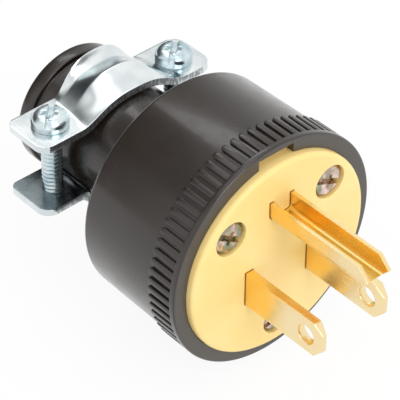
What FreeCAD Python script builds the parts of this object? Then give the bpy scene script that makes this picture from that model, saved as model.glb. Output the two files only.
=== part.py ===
"""Grounded plug: ribbed shell, yellow face, brass contacts and a two-saddle cord clamp.

Millimetres. The origin is the centre of the yellow face, on the plug's axis.
+X is the way the plug goes into a socket, +Z is up, with the ground pin above the blades.
Distances called back are measured behind the face, along -X.
"""
import FreeCAD, Part
import math
import os
from enum import IntEnum

import Sketcher
from FreeCAD import Placement, Rotation, Vector

# Driving dimensions

CONTACT_SIZES = (
    ("blade_width", 6.35, "blade, up and down"),
    ("blade_thickness", 1.52, "blade, side to side"),
    ("blade_spacing", 12.7, "between the centres of the two blades"),
    ("blade_drop", 2.86, "centre of the blades below the axis"),
    ("blade_length", 16.6, "tip of a blade in front of the face"),
    ("blade_hole", 3.4, "diameter of the hole near the tip"),
    ("blade_hole_reach", 13.25, "centre of that hole in front of the face"),
    ("blade_corner", 1.64, "corners cut off at the tip"),
    ("blade_bevel", 1.5, "length of the bevels on the wide faces"),
    ("blade_tip", 0.8, "thickness left at the end of the tip"),
    ("ground_rise", 11.9, "centre of the ground pin above the blades' centre"),
    ("ground_width", 4.8, "ground pin, side to side"),
    ("ground_height", 4.9, "ground pin, up and down"),
    ("ground_sheet", 1.0, "thickness of the folded sheet"),
    ("ground_bend", 0.9, "outer radius of the two folds"),
    ("ground_length", 21.3, "tip of the ground pin in front of the face"),
    ("ground_corner", 2.2, "corners cut off the legs at the tip"),
    ("ground_nose", 1.2, "bevel under the tip"),
    ("ground_tail_width", 6.4, "flat tail that carries the ground screw"),
    ("shoulder_overhang", 1.4, "shoulder beyond each edge of a contact"),
    ("shoulder_depth", 1.5, "shoulder, along the axis"),
    ("tail_back", 16.5, "ends of the contact tails"),
    ("slot_gap", 0.15, "contact to its slot, on each side"),
)

FACE_SIZES = (
    ("face_radius", 17.65, "yellow face"),
    ("face_back", 6.0, "back of the face plate, on the shell's ledge"),
    ("face_round", 0.8, "rounded front edge of the face"),
    ("key_width", 6.8, "key tab at the top of the face"),
    ("key_radius", 19.0, "top of the key tab, from the axis"),
    ("key_back", 3.0, "front of the key tab"),
    ("block_back", 8.5, "back of the terminal block"),
    ("barrier_back", 15.5, "end of the barrier between the terminals"),
    ("barrier_width", 1.8, "thickness of the barrier"),
    ("barrier_top", 2.4, "top of the barrier above the axis"),
    ("barrier_drop", 8.6, "bottom of the barrier below the axis"),
)

SHELL_SIZES = (
    ("ring_back", 1.5, "front ring of the shell"),
    ("ring_gap", 0.1, "face to ring, all round"),
    ("rim_radius", 20.15, "smooth rim in front of the ribs"),
    ("rim_round", 0.35, "edge of the rim"),
    ("drum_front_radius", 19.75, "drum between the ribs"),
    ("drum_rear_radius", 19.33, "drum at its rear edge"),
    ("drum_back", 23.4, "rear edge of the drum"),
    ("drum_round", 0.5, "rear edge of the drum"),
    ("rib_count", 72, "ribs round the drum"),
    ("rib_width", 1.05, "one rib"),
    ("rib_front", 2.65, "ribs start at the back of the rim"),
    ("rib_end", 7.6, "rounded rear ends of the ribs"),
    ("rib_depth", 0.8, "rib, from inside the drum's wall to its top"),
    ("shoulder_radius", 12.8, "inner end of the drum's sloping back"),
    ("shoulder_slope", 2.6, "depth of that slope"),
    ("neck_radius", 10.0, "neck under the clamp"),
    ("neck_start", 28.6, "neck meets the drum"),
    ("neck_round", 2.0, "fillet at the root of the neck"),
    ("flange_radius", 10.85, "end flange of the neck"),
    ("flange_front", 47.9, "front of the flange"),
    ("flange_round", 0.6, "edges of the flange"),
    ("shell_back", 50.6, "rear end of the neck"),
    ("cord_radius", 7.2, "bore for the cord"),
    ("mouth_round", 0.7, "mouth of the bore"),
    ("chamber_radius", 16.6, "wiring chamber"),
    ("chamber_back", 21.6, "rear wall of the chamber"),
    ("chamber_gap", 0.2, "terminal block to the chamber's wall"),
    ("boss_radius", 3.9, "screw bosses in the chamber"),
    ("fit_gap", 0.1, "key tab to its notch"),
)

SCREW_SIZES = (
    ("assembly_side", 10.1, "upper assembly screws, from the middle"),
    ("assembly_top", 8.8, "upper assembly screws, above the axis"),
    ("assembly_bottom", 12.9, "lower assembly screw, below the axis"),
    ("recess_diameter", 5.9, "recess for a screw head in the face"),
    ("recess_depth", 2.7, "depth of that recess"),
    ("assembly_head", 5.4, "head diameter"),
    ("assembly_head_height", 2.4, "head height"),
    ("assembly_core", 2.8, "shank, at the root of its thread"),
    ("assembly_length", 16.0, "under the head"),
    ("screw_gap", 0.9, "hole wider than the shank where a screw passes"),
    ("thread_gap", 0.1, "hole wider than the shank where a screw bites"),
    ("terminal_back", 12.6, "terminal screws"),
    ("terminal_head", 7.4, "head diameter"),
    ("terminal_head_height", 2.2, "head height"),
    ("terminal_core", 3.4, "shank, at the root of its thread"),
    ("terminal_length", 4.2, "under the head"),
    ("clamp_head", 6.1, "clamp screw's head diameter"),
    ("clamp_head_height", 2.3, "head height"),
    ("clamp_core", 3.2, "shank, at the root of its thread"),
    ("clamp_end", 0.4, "end of the screw below the lower ear"),
    ("head_round", 1.4, "rounded top edge of a head"),
    ("slot_width", 1.0, "slot across a head"),
    ("slot_depth", 1.1, "depth of that slot"),
    ("cross_span", 3.6, "short arms that turn a slot into a cross recess, end to end"),
)

CLAMP_SIZES = (
    ("clamp_back", 39.3, "clamp screws, and the middle of both straps"),
    ("clamp_side", 12.79, "clamp screws, from the middle"),
    ("strap_width", 9.4, "straps, along the axis"),
    ("strap_reach", 17.3, "ends of the ears, from the middle"),
    ("strap_sheet", 1.4, "thickness of the steel"),
    ("strap_corner", 2.2, "rounded corners of the ears"),
    ("upper_ear", 8.4, "outer face of the upper ears above the axis"),
    ("lower_ear", 7.1, "outer face of the lower ears below the axis"),
    ("upper_arch_side", 9.1, "where the upper arch would meet its ears, from the middle"),
    ("lower_arch_side", 9.2, "where the lower arch would meet its ears, from the middle"),
    ("arch_bend", 1.0, "outer radius between ear and arch"),
    ("front_crown", 11.6, "top of the arch at the front edge"),
    ("ridge_crown", 13.4, "top of the arch at the pressed ridge"),
    ("valley_crown", 12.3, "bottom of the valley behind the ridge"),
    ("lip_crown", 14.2, "top of the flared rear lip"),
    ("ridge_run", 4.6, "ridge, in front of the rear edge"),
    ("valley_run", 1.4, "valley, in front of the rear edge"),
)

SIZES = CONTACT_SIZES + FACE_SIZES + SHELL_SIZES + SCREW_SIZES + CLAMP_SIZES

doc = FreeCAD.newDocument("grounded_plug")
sheet = doc.addObject("Spreadsheet::Sheet", "dims")
for row, (alias, size, note) in enumerate(SIZES, 1):
    sheet.set("A%d" % row, note)
    sheet.set("B%d" % row, str(size))
    sheet.setAlias("B%d" % row, alias)
doc.recompute()

# Places that several pieces share, as expressions on the sheet

BLADE_Z = "-dims.blade_drop"
GROUND_Z = "dims.ground_rise - dims.blade_drop"
GROUND_FLOOR = GROUND_Z + " - dims.ground_height / 2"
FACE_BACK = "-dims.face_back"
BLOCK_BACK = "-dims.block_back"
CHAMBER_BACK = "-dims.chamber_back"
RING_RADIUS = "dims.face_radius + dims.ring_gap"
BLADE_FACE = "dims.blade_spacing / 2 + dims.blade_thickness / 2"
ASSEMBLY_PLACES = (
    ("dims.assembly_side", "dims.assembly_top"),
    ("-dims.assembly_side", "dims.assembly_top"),
    ("0", "-dims.assembly_bottom"),
)

# How far each screw is driven round, in degrees, so that no two slots line up

ASSEMBLY_TURNS = (65, 58, 110)
CLAMP_TURNS = (131, 134)

# Directions that the screws point their heads in

HEAD_FORWARDS = Rotation(Vector(0, 1, 0), 90)
HEAD_TO_LINE_SIDE = Rotation(Vector(1, 0, 0), -90)
HEAD_TO_NEUTRAL_SIDE = Rotation(Vector(1, 0, 0), 90)
HEAD_UP = Rotation()

# Tolerance for finding edges, and sections of a saddle between two of its named crowns

NEAR = 1e-4
CROWN_STEPS = 3


class Axis(IntEnum):
    """Codes for a sketch's own axes. Its origin is the start of the level one."""

    LEVEL = -1
    UPRIGHT = -2


class Spot(IntEnum):
    """Codes for the points of an edge in a sketch."""

    START = 1
    END = 2
    CENTRE = 3


def value(text):
    """Return the number that an expression on the sheet gives."""
    return float(sheet.evalExpression(text))


# Sketches bound to the sheet

def new_body(label):
    """Return an empty body with its own label."""
    item = doc.addObject("PartDesign::Body", label)
    item.Label = label
    return item


def plane_sketch(item, name, role, offset="0"):
    """Return a sketch on one of the body's origin planes, moved along the plane's normal."""
    drawing = item.newObject("Sketcher::SketchObject", name)
    plane = next(part for part in item.Origin.OriginFeatures if part.Role == role)
    drawing.AttachmentSupport = [(plane, "")]
    drawing.MapMode = "FlatFace"
    drawing.setExpression("AttachmentOffset.Base.z", offset)
    return drawing


def bind(drawing, constraint, text):
    """Add a dimension to a sketch and tie it to an expression."""
    index = drawing.addConstraint(constraint)
    drawing.setExpression("Constraints[%d]" % index, text)


def fix_point(drawing, edge, end, across, up):
    """Fix one point of a sketch by its two coordinates, given as expressions."""
    for kind, text, axis in (("DistanceX", across, Axis.UPRIGHT), ("DistanceY", up, Axis.LEVEL)):
        if text == "0":
            drawing.addConstraint(Sketcher.Constraint("PointOnObject", edge, end, axis))
        else:
            bind(drawing, Sketcher.Constraint(kind, Axis.LEVEL, Spot.START, edge, end, value(text)), text)


def meet(drawing, edge, following):
    """Let one edge of a sketch end where the following edge starts."""
    drawing.addConstraint(Sketcher.Constraint("Coincident", edge, Spot.END, following, Spot.START))


def outline(drawing, corners):
    """Draw a closed outline of straight edges through corners given as expressions."""
    points = [Vector(value(across), value(up), 0) for across, up in corners]
    first = drawing.GeometryCount
    for here, there in zip(points, points[1:] + points[:1]):
        drawing.addGeometry(Part.LineSegment(here, there), False)
    for index, (across, up) in enumerate(corners):
        following = first + (index + 1) % len(corners)
        meet(drawing, first + index, following)
        fix_point(drawing, first + index, Spot.START, across, up)


def rectangle(drawing, left, right, low, high):
    """Draw a rectangle between four expressions."""
    outline(drawing, ((left, low), (right, low), (right, high), (left, high)))


def circle(drawing, across, up, diameter):
    """Draw a circle whose centre and diameter are expressions."""
    middle = Vector(value(across), value(up), 0)
    edge = drawing.addGeometry(Part.Circle(middle, Vector(0, 0, 1), value(diameter) / 2), False)
    fix_point(drawing, edge, Spot.CENTRE, across, up)
    bind(drawing, Sketcher.Constraint("Diameter", edge, value(diameter)), diameter)


def screw_holes(drawing, diameter):
    """Draw one circle for each assembly screw."""
    for across, up in ASSEMBLY_PLACES:
        circle(drawing, across, up, diameter)


# Features of a body

def keep(item, feature):
    """Make a feature the body's last one and rebuild."""
    item.Tip = feature
    doc.recompute()
    return feature


def pad(item, drawing, length, symmetric=False, backwards=False):
    """Raise a sketch by a length."""
    feature = item.newObject("PartDesign::Pad", drawing.Name + "_pad")
    feature.Profile = drawing
    feature.SideType = "Symmetric" if symmetric else "One side"
    feature.Reversed = backwards
    feature.setExpression("Length", length)
    return keep(item, feature)


def pocket(item, drawing, depth, symmetric=False, forwards=False):
    """Cut a sketch into the body, against its normal unless forwards, and see that it cuts."""
    before = item.Shape.Volume
    feature = item.newObject("PartDesign::Pocket", drawing.Name + "_pocket")
    feature.Profile = drawing
    feature.SideType = "Symmetric" if symmetric else "One side"
    feature.Reversed = forwards
    feature.setExpression("Length", depth)
    keep(item, feature)
    if item.Shape.Volume >= before:
        raise RuntimeError(feature.Name + " cuts nothing")
    return feature


def revolve(item, drawing, axis):
    """Turn a sketch a full turn about one of its own axes."""
    feature = item.newObject("PartDesign::Revolution", drawing.Name + "_turned")
    feature.Profile = drawing
    feature.ReferenceAxis = (drawing, [axis])
    feature.Angle = 360
    return keep(item, feature)


def round_edges(item, name, radius, wanted):
    """Fillet the edges of the body that the test wanted() picks."""
    names = ["Edge%d" % number for number, edge in enumerate(item.Shape.Edges, 1) if wanted(edge)]
    if not names:
        raise RuntimeError(name + " finds no edge")
    base = item.Tip
    feature = item.newObject("PartDesign::Fillet", name)
    feature.Base = (base, names)
    feature.setExpression("Radius", radius)
    return keep(item, feature)


def turned_edge(place, radius):
    """Return a test for the round edges about the X axis at one place and radius."""
    def wanted(edge):
        curve = edge.Curve
        if not isinstance(curve, Part.Circle):
            return False
        on_place = abs(curve.Center.x - value(place)) < NEAR
        return on_place and abs(curve.Radius - value(radius)) < NEAR
    return wanted


# Shell

def make_shell():
    """Return the moulded housing: ribbed drum, neck, flange, bore, chamber and screw bosses."""
    item = new_body("shell")
    section = plane_sketch(item, "shell_section", "XZ_Plane")
    ring = "-dims.ring_back"
    slope_end = "-dims.drum_back - dims.shoulder_slope"
    outline(section, (
        (ring, RING_RADIUS),
        (ring, "dims.rim_radius"),
        ("-dims.rib_front", "dims.rim_radius"),
        ("-dims.rib_front", "dims.drum_front_radius"),
        ("-dims.drum_back", "dims.drum_rear_radius"),
        (slope_end, "dims.shoulder_radius"),
        ("-dims.neck_start", "dims.neck_radius"),
        ("-dims.flange_front", "dims.neck_radius"),
        ("-dims.flange_front", "dims.flange_radius"),
        ("-dims.shell_back", "dims.flange_radius"),
        ("-dims.shell_back", "dims.cord_radius"),
        (CHAMBER_BACK, "dims.cord_radius"),
        (CHAMBER_BACK, "dims.chamber_radius"),
        (FACE_BACK, "dims.chamber_radius"),
        (FACE_BACK, RING_RADIUS),
    ))
    revolve(item, section, "H_Axis")
    rounds = (
        ("rim_edge", "dims.rim_round", ring, "dims.rim_radius"),
        ("drum_edge", "dims.drum_round", "-dims.drum_back", "dims.drum_rear_radius"),
        ("neck_root", "dims.neck_round", "-dims.neck_start", "dims.neck_radius"),
        ("flange_edge", "dims.flange_round", "-dims.flange_front", "dims.flange_radius"),
        ("flange_end", "dims.flange_round", "-dims.shell_back", "dims.flange_radius"),
        ("bore_mouth", "dims.mouth_round", "-dims.shell_back", "dims.cord_radius"),
    )
    for name, radius, place, size in rounds:
        round_edges(item, name, radius, turned_edge(place, size))

    bosses = plane_sketch(item, "boss_rings", "YZ_Plane", CHAMBER_BACK)
    screw_holes(bosses, "2 * dims.boss_radius")
    pad(item, bosses, "dims.chamber_back - dims.block_back")
    pilots = plane_sketch(item, "pilot_holes", "YZ_Plane", BLOCK_BACK)
    screw_holes(pilots, "dims.assembly_core + dims.thread_gap")
    pocket(item, pilots, "dims.recess_depth + dims.assembly_length + dims.thread_gap - dims.block_back")

    notch = plane_sketch(item, "key_notch", "YZ_Plane", ring)
    half = "dims.key_width / 2 + dims.fit_gap"
    top = "dims.key_radius + dims.fit_gap"
    rectangle(notch, "-(%s)" % half, half, "dims.chamber_radius", top)
    pocket(item, notch, "dims.face_back - dims.ring_back")

    rib = plane_sketch(item, "rib_outline", "XY_Plane", "dims.rim_radius - dims.rib_depth")
    rounded_bar(rib, "-dims.rib_front", "-dims.rib_end", "dims.rib_width")
    first = pad(item, rib, "dims.rib_depth")
    ribs = item.newObject("PartDesign::PolarPattern", "ribs")
    ribs.Originals = [first]
    turning = next(part for part in item.Origin.OriginFeatures if part.Role == "X_Axis")
    ribs.Axis = (turning, [""])
    ribs.Angle = 360
    ribs.setExpression("Occurrences", "dims.rib_count")
    keep(item, ribs)
    return item


def rounded_bar(drawing, front, back, width):
    """Draw a bar along the sketch's X axis with a square front and a round back."""
    half = width + " / 2"
    bend = "%s + %s" % (back, half)
    near, far, side = value(front), value(bend), value(half)
    corners = [Vector(near, side, 0), Vector(far, side, 0), Vector(far, -side, 0), Vector(near, -side, 0)]
    tip = Vector(far - side, 0, 0)
    edges = (
        drawing.addGeometry(Part.LineSegment(corners[0], corners[1]), False),
        drawing.addGeometry(Part.Arc(corners[1], tip, corners[2]), False),
        drawing.addGeometry(Part.LineSegment(corners[2], corners[3]), False),
        drawing.addGeometry(Part.LineSegment(corners[3], corners[0]), False),
    )
    upper, arc, lower, square = edges
    for edge, following in zip(edges, (arc, lower, square, upper)):
        meet(drawing, edge, following)
    fix_point(drawing, upper, Spot.START, front, half)
    fix_point(drawing, upper, Spot.END, bend, half)
    fix_point(drawing, lower, Spot.START, bend, "-" + half)
    fix_point(drawing, lower, Spot.END, front, "-" + half)
    to_middle = Sketcher.Constraint("DistanceX", Axis.LEVEL, Spot.START, arc, Spot.CENTRE, far)
    bind(drawing, to_middle, bend)


# Face plate and terminal block

def blade_slots(drawing, overhang="0"):
    """Draw the two blade slots, longer up and down by an overhang at each end."""
    half_width = "dims.blade_thickness / 2 + dims.slot_gap"
    half_height = "dims.blade_width / 2 + dims.slot_gap + %s" % overhang
    for middle in ("dims.blade_spacing / 2", "-dims.blade_spacing / 2"):
        rectangle(
            drawing,
            "%s - (%s)" % (middle, half_width),
            "%s + (%s)" % (middle, half_width),
            "%s - (%s)" % (BLADE_Z, half_height),
            "%s + (%s)" % (BLADE_Z, half_height),
        )


def ground_slot(drawing):
    """Draw the U-shaped slot of the ground pin, with a tongue of plastic left inside the U."""
    outer = "dims.ground_width / 2 + dims.slot_gap"
    inner = "dims.ground_width / 2 - dims.ground_sheet - dims.slot_gap"
    top = GROUND_Z + " + dims.ground_height / 2 + dims.slot_gap"
    bottom = GROUND_FLOOR + " - dims.slot_gap"
    floor = GROUND_FLOOR + " + dims.ground_sheet + dims.slot_gap"
    outline(drawing, (
        ("-(%s)" % outer, bottom),
        (outer, bottom),
        (outer, top),
        (inner, top),
        (inner, floor),
        ("-(%s)" % inner, floor),
        ("-(%s)" % inner, top),
        ("-(%s)" % outer, top),
    ))


def ground_tail_slot(drawing, half_width):
    """Draw the flat slot of the ground pin's shoulders or tail."""
    rectangle(
        drawing,
        "-(%s) - dims.slot_gap" % half_width,
        "(%s) + dims.slot_gap" % half_width,
        GROUND_FLOOR + " - dims.slot_gap",
        GROUND_FLOOR + " + dims.ground_sheet + dims.slot_gap",
    )


def make_face_plate():
    """Return the yellow face with its key, slots, screw recesses and shoulder pockets."""
    item = new_body("face_plate")
    section = plane_sketch(item, "face_section", "XZ_Plane")
    rectangle(section, FACE_BACK, "0", "0", "dims.face_radius")
    revolve(item, section, "H_Axis")
    round_edges(item, "face_edge", "dims.face_round", turned_edge("0", "dims.face_radius"))

    key = plane_sketch(item, "key_outline", "YZ_Plane", FACE_BACK)
    inside = "dims.chamber_radius"
    rectangle(key, "-dims.key_width / 2", "dims.key_width / 2", inside, "dims.key_radius")
    pad(item, key, "dims.face_back - dims.key_back")

    slots = plane_sketch(item, "contact_slots", "YZ_Plane")
    blade_slots(slots)
    ground_slot(slots)
    pocket(item, slots, "dims.face_back")
    recesses = plane_sketch(item, "screw_recesses", "YZ_Plane")
    screw_holes(recesses, "dims.recess_diameter")
    pocket(item, recesses, "dims.recess_depth")
    holes = plane_sketch(item, "screw_passages", "YZ_Plane")
    screw_holes(holes, "dims.assembly_core + dims.screw_gap")
    pocket(item, holes, "dims.face_back")

    pockets = plane_sketch(item, "shoulder_pockets", "YZ_Plane", FACE_BACK)
    blade_slots(pockets, "dims.shoulder_overhang")
    ground_tail_slot(pockets, "dims.ground_width / 2 + dims.shoulder_overhang")
    pocket(item, pockets, "dims.shoulder_depth", forwards=True)
    return item


def make_terminal_block():
    """Return the insulator that traps the contacts and parts the terminals with a barrier."""
    item = new_body("terminal_block")
    section = plane_sketch(item, "block_section", "XZ_Plane")
    rectangle(section, BLOCK_BACK, FACE_BACK, "0", "dims.chamber_radius - dims.chamber_gap")
    revolve(item, section, "H_Axis")
    barrier = plane_sketch(item, "barrier_outline", "YZ_Plane", BLOCK_BACK)
    rectangle(
        barrier,
        "-dims.barrier_width / 2",
        "dims.barrier_width / 2",
        "-dims.barrier_drop",
        "dims.barrier_top",
    )
    pad(item, barrier, "dims.barrier_back - dims.block_back", backwards=True)
    openings = plane_sketch(item, "block_openings", "YZ_Plane", FACE_BACK)
    blade_slots(openings)
    ground_tail_slot(openings, "dims.ground_tail_width / 2")
    screw_holes(openings, "dims.assembly_core + dims.screw_gap")
    pocket(item, openings, "dims.block_back - dims.face_back")
    return item


# Contacts

def make_blade(label, side):
    """Return a flat blade with shoulders and a tail; side is 1 for line and -1 for neutral."""
    item = new_body(label)
    middle = "%d * dims.blade_spacing / 2" % side
    strip = plane_sketch(item, label + "_strip", "XZ_Plane", "-(%s)" % middle)
    low = "%s - dims.blade_width / 2" % BLADE_Z
    high = "%s + dims.blade_width / 2" % BLADE_Z
    corner_start = "dims.blade_length - dims.blade_corner"
    shoulder_front = "%s + dims.shoulder_depth" % FACE_BACK
    outline(strip, (
        ("-dims.tail_back", low),
        (FACE_BACK, low),
        (FACE_BACK, low + " - dims.shoulder_overhang"),
        (shoulder_front, low + " - dims.shoulder_overhang"),
        (shoulder_front, low),
        (corner_start, low),
        ("dims.blade_length", low + " + dims.blade_corner"),
        ("dims.blade_length", high + " - dims.blade_corner"),
        (corner_start, high),
        (shoulder_front, high),
        (shoulder_front, high + " + dims.shoulder_overhang"),
        (FACE_BACK, high + " + dims.shoulder_overhang"),
        (FACE_BACK, high),
        ("-dims.tail_back", high),
    ))
    pad(item, strip, "dims.blade_thickness", symmetric=True)

    holes = plane_sketch(item, label + "_holes", "XZ_Plane", "-(%s)" % middle)
    circle(holes, "dims.blade_hole_reach", BLADE_Z, "dims.blade_hole")
    circle(holes, "-dims.terminal_back", BLADE_Z, "dims.terminal_core + dims.thread_gap")
    pocket(item, holes, "2 * dims.blade_thickness", symmetric=True)

    bevels = plane_sketch(item, label + "_bevels", "XY_Plane", BLADE_Z)
    for way in (1, -1):
        face = "%s + %d * dims.blade_thickness / 2" % (middle, way)
        end = "%s + %d * dims.blade_tip / 2" % (middle, way)
        outline(bevels, (
            ("dims.blade_length - dims.blade_bevel", face),
            ("dims.blade_length", face),
            ("dims.blade_length", end),
        ))
    pocket(item, bevels, "2 * dims.blade_width", symmetric=True)
    return item


def make_ground_pin():
    """Return the folded U pin with its shoulders and flat tail."""
    item = new_body("ground_pin")
    channel = plane_sketch(item, "channel", "YZ_Plane", FACE_BACK)
    half = "dims.ground_width / 2"
    inside = "dims.ground_width / 2 - dims.ground_sheet"
    top = GROUND_Z + " + dims.ground_height / 2"
    floor = GROUND_FLOOR + " + dims.ground_sheet"
    outline(channel, (
        ("-" + half, GROUND_FLOOR),
        (half, GROUND_FLOOR),
        (half, top),
        (inside, top),
        (inside, floor),
        ("-(%s)" % inside, floor),
        ("-(%s)" % inside, top),
        ("-" + half, top),
    ))
    pad(item, channel, "dims.face_back + dims.ground_length")

    def folded_edge(edge):
        middle = edge.CenterOfMass
        at_side = abs(abs(middle.y) - value(half)) < NEAR
        return at_side and abs(middle.z - value(GROUND_FLOOR)) < NEAR

    round_edges(item, "folds", "dims.ground_bend", folded_edge)

    tip = plane_sketch(item, "tip_cuts", "XZ_Plane")
    end = "dims.ground_length"
    outline(tip, (
        (end + " - dims.ground_corner", top),
        (end, top),
        (end, top + " - dims.ground_corner"),
    ))
    outline(tip, (
        (end + " - dims.ground_nose", GROUND_FLOOR),
        (end, GROUND_FLOOR),
        (end, GROUND_FLOOR + " + dims.ground_nose"),
    ))
    pocket(item, tip, "2 * dims.ground_width", symmetric=True)

    tail = plane_sketch(item, "tail_outline", "XY_Plane", GROUND_FLOOR)
    shoulder = "dims.ground_width / 2 + dims.shoulder_overhang"
    shoulder_front = "%s + dims.shoulder_depth" % FACE_BACK
    tail_half = "dims.ground_tail_width / 2"
    outline(tail, (
        ("-dims.tail_back", "-" + tail_half),
        (FACE_BACK, "-" + tail_half),
        (FACE_BACK, "-(%s)" % shoulder),
        (shoulder_front, "-(%s)" % shoulder),
        (shoulder_front, shoulder),
        (FACE_BACK, shoulder),
        (FACE_BACK, tail_half),
        ("-dims.tail_back", tail_half),
    ))
    pad(item, tail, "dims.ground_sheet")
    hole = plane_sketch(item, "tail_hole", "XY_Plane", GROUND_Z)
    circle(hole, "-dims.terminal_back", "0", "dims.terminal_core + dims.thread_gap")
    pocket(item, hole, "dims.ground_height")
    return item


# Screws

def make_screw(label, head, height, core, length, recess):
    """Return a screw along Z with the underside of its head at the origin."""
    item = new_body(label)
    section = plane_sketch(item, label + "_section", "XZ_Plane")
    outline(section, (
        ("0", "-(%s)" % length),
        (core + " / 2", "-(%s)" % length),
        (core + " / 2", "0"),
        (head + " / 2", "0"),
        (head + " / 2", height),
        ("0", height),
    ))
    revolve(item, section, "V_Axis")

    def crown_edge(edge):
        curve = edge.Curve
        if not isinstance(curve, Part.Circle):
            return False
        return abs(curve.Center.z - value(height)) < NEAR

    round_edges(item, label + "_crown", "dims.head_round", crown_edge)
    drawing = plane_sketch(item, label + "_recess", "XY_Plane", height)
    recess(drawing, head)
    pocket(item, drawing, "dims.slot_depth")
    return item


def straight_slot(drawing, head):
    """Draw a slot right across a head."""
    rectangle(drawing, "-" + head, head, "-dims.slot_width / 2", "dims.slot_width / 2")


def cross_recess(drawing, head):
    """Draw a slot right across a head, with two short arms that make it a cross."""
    arm = "dims.slot_width / 2"
    span = "dims.cross_span / 2"
    outline(drawing, (
        ("-" + head, "-" + arm),
        ("-" + arm, "-" + arm),
        ("-" + arm, "-" + span),
        (arm, "-" + span),
        (arm, "-" + arm),
        (head, "-" + arm),
        (head, arm),
        (arm, arm),
        (arm, span),
        ("-" + arm, span),
        ("-" + arm, arm),
        ("-" + head, arm),
    ))


def set_place(item, turn, across, side, up):
    """Turn a piece and tie its place to three expressions."""
    item.Placement = Placement(Vector(), turn)
    for axis, text in (("x", across), ("y", side), ("z", up)):
        item.setExpression("Placement.Base." + axis, text)


def driven(degrees):
    """Return the turn of a screw about its own axis."""
    return Rotation(Vector(0, 0, 1), degrees)


def group(label, items):
    """Return like pieces as one node of separate solids."""
    together = doc.addObject("Part::Compound", label)
    together.Label = label
    together.Links = items
    return together


def make_assembly_screws():
    """Return the three screws that hold the face and the terminal block to the shell."""
    items = []
    for number, ((side, up), turn) in enumerate(zip(ASSEMBLY_PLACES, ASSEMBLY_TURNS), 1):
        item = make_screw(
            "assembly_screw_%d" % number,
            "dims.assembly_head",
            "dims.assembly_head_height",
            "dims.assembly_core",
            "dims.assembly_length",
            cross_recess,
        )
        set_place(item, HEAD_FORWARDS * driven(turn), "-dims.recess_depth", side, up)
        items.append(item)
    return group("assembly_screws", items)


def make_terminal_screw(label, turn, side, up):
    """Return one terminal screw on the tail of its contact."""
    item = make_screw(
        label,
        "dims.terminal_head",
        "dims.terminal_head_height",
        "dims.terminal_core",
        "dims.terminal_length",
        straight_slot,
    )
    set_place(item, turn, "-dims.terminal_back", side, up)
    return item


def make_clamp_screws():
    """Return the two machine screws that draw the saddles together."""
    items = []
    sides = ("dims.clamp_side", "-dims.clamp_side")
    for number, (side, turn) in enumerate(zip(sides, CLAMP_TURNS), 1):
        item = make_screw(
            "clamp_screw_%d" % number,
            "dims.clamp_head",
            "dims.clamp_head_height",
            "dims.clamp_core",
            "dims.upper_ear + dims.lower_ear + dims.clamp_end",
            cross_recess,
        )
        set_place(item, HEAD_UP * driven(turn), "-dims.clamp_back", side, "dims.upper_ear")
        items.append(item)
    return group("clamp_screws", items)


# Clamp saddles

def saddle_section(place, crown, ear, half, way):
    """Return the closed section of a formed strap at one place along the axis.

    Each ear is flat, a bend turns it up into a round arch, and all three keep the sheet's
    thickness. half is where the arch would meet the ears, and way is 1 above the neck and -1
    below it.
    """
    sheet_gauge = value("dims.strap_sheet")
    bend = value("dims.arch_bend")
    reach = value("dims.strap_reach")
    rise = crown - ear
    arch = (half ** 2 + rise ** 2) / (2 * rise)
    arch_z = crown - arch
    bend_z = ear + bend
    bend_y = math.sqrt((arch + bend) ** 2 - (bend_z - arch_z) ** 2)
    lean = Vector(0, -bend_y, arch_z - bend_z).normalize()
    middle_lean = (lean + Vector(0, 0, -1)).normalize()

    def place_point(side, y, z):
        return Vector(place, side * y, way * z)

    def half_side(side, bend_size, arch_size, ear_z):
        """Return the points from an ear's end to the arch on one side."""
        bend_mid = Vector(0, bend_y, bend_z) + middle_lean * bend_size
        bend_end = Vector(0, bend_y, bend_z) + lean * bend_size
        return (
            place_point(side, reach, ear_z),
            place_point(side, bend_y, ear_z),
            place_point(side, bend_mid.y, bend_mid.z),
            place_point(side, bend_end.y, bend_end.z),
            place_point(side, 0, arch_z + arch_size),
        )

    def skin(bend_size, arch_size, ear_z):
        """Return the edges of one face of the sheet, from one ear's end to the other's."""
        left = half_side(-1, bend_size, arch_size, ear_z)
        right = half_side(1, bend_size, arch_size, ear_z)
        edges = [
            Part.makeLine(left[0], left[1]),
            Part.Arc(left[1], left[2], left[3]).toShape(),
            Part.Arc(left[3], left[4], right[3]).toShape(),
            Part.Arc(right[3], right[2], right[1]).toShape(),
            Part.makeLine(right[1], right[0]),
        ]
        return edges, left[0], right[0]

    outer, outer_left, outer_right = skin(bend, arch, ear)
    inner, inner_left, inner_right = skin(bend + sheet_gauge, arch - sheet_gauge, ear - sheet_gauge)
    ends = [Part.makeLine(outer_right, inner_right), Part.makeLine(inner_left, outer_left)]
    return Part.Wire(Part.__sortEdges__(outer + inner + ends))


def rise_to_ridge(step):
    """Return the share of the climb to the ridge, gentle at both ends."""
    return step ** 2 * (3 - 2 * step)


def fall_into_valley(step):
    """Return the share of the fall into the valley, an even slope."""
    return step


def flare_to_lip(step):
    """Return the share of the climb to the lip, steep at last."""
    return step ** 2


def strap_stations():
    """Return places along the axis, from front to rear, with the crown's height at each."""
    front = value("-dims.clamp_back + dims.strap_width / 2")
    rear = value("-dims.clamp_back - dims.strap_width / 2")
    ridge = rear + value("dims.ridge_run")
    valley = rear + value("dims.valley_run")
    lip_crown = value("dims.lip_crown")
    waves = (
        (front, value("dims.front_crown"), ridge, value("dims.ridge_crown"), rise_to_ridge),
        (ridge, value("dims.ridge_crown"), valley, value("dims.valley_crown"), fall_into_valley),
        (valley, value("dims.valley_crown"), rear, lip_crown, flare_to_lip),
    )
    stations = []
    for start, low, end, high, curve in waves:
        for number in range(CROWN_STEPS):
            step = number / CROWN_STEPS
            stations.append((start + (end - start) * step, low + (high - low) * curve(step)))
    stations.append((rear, lip_crown))
    return stations


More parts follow.
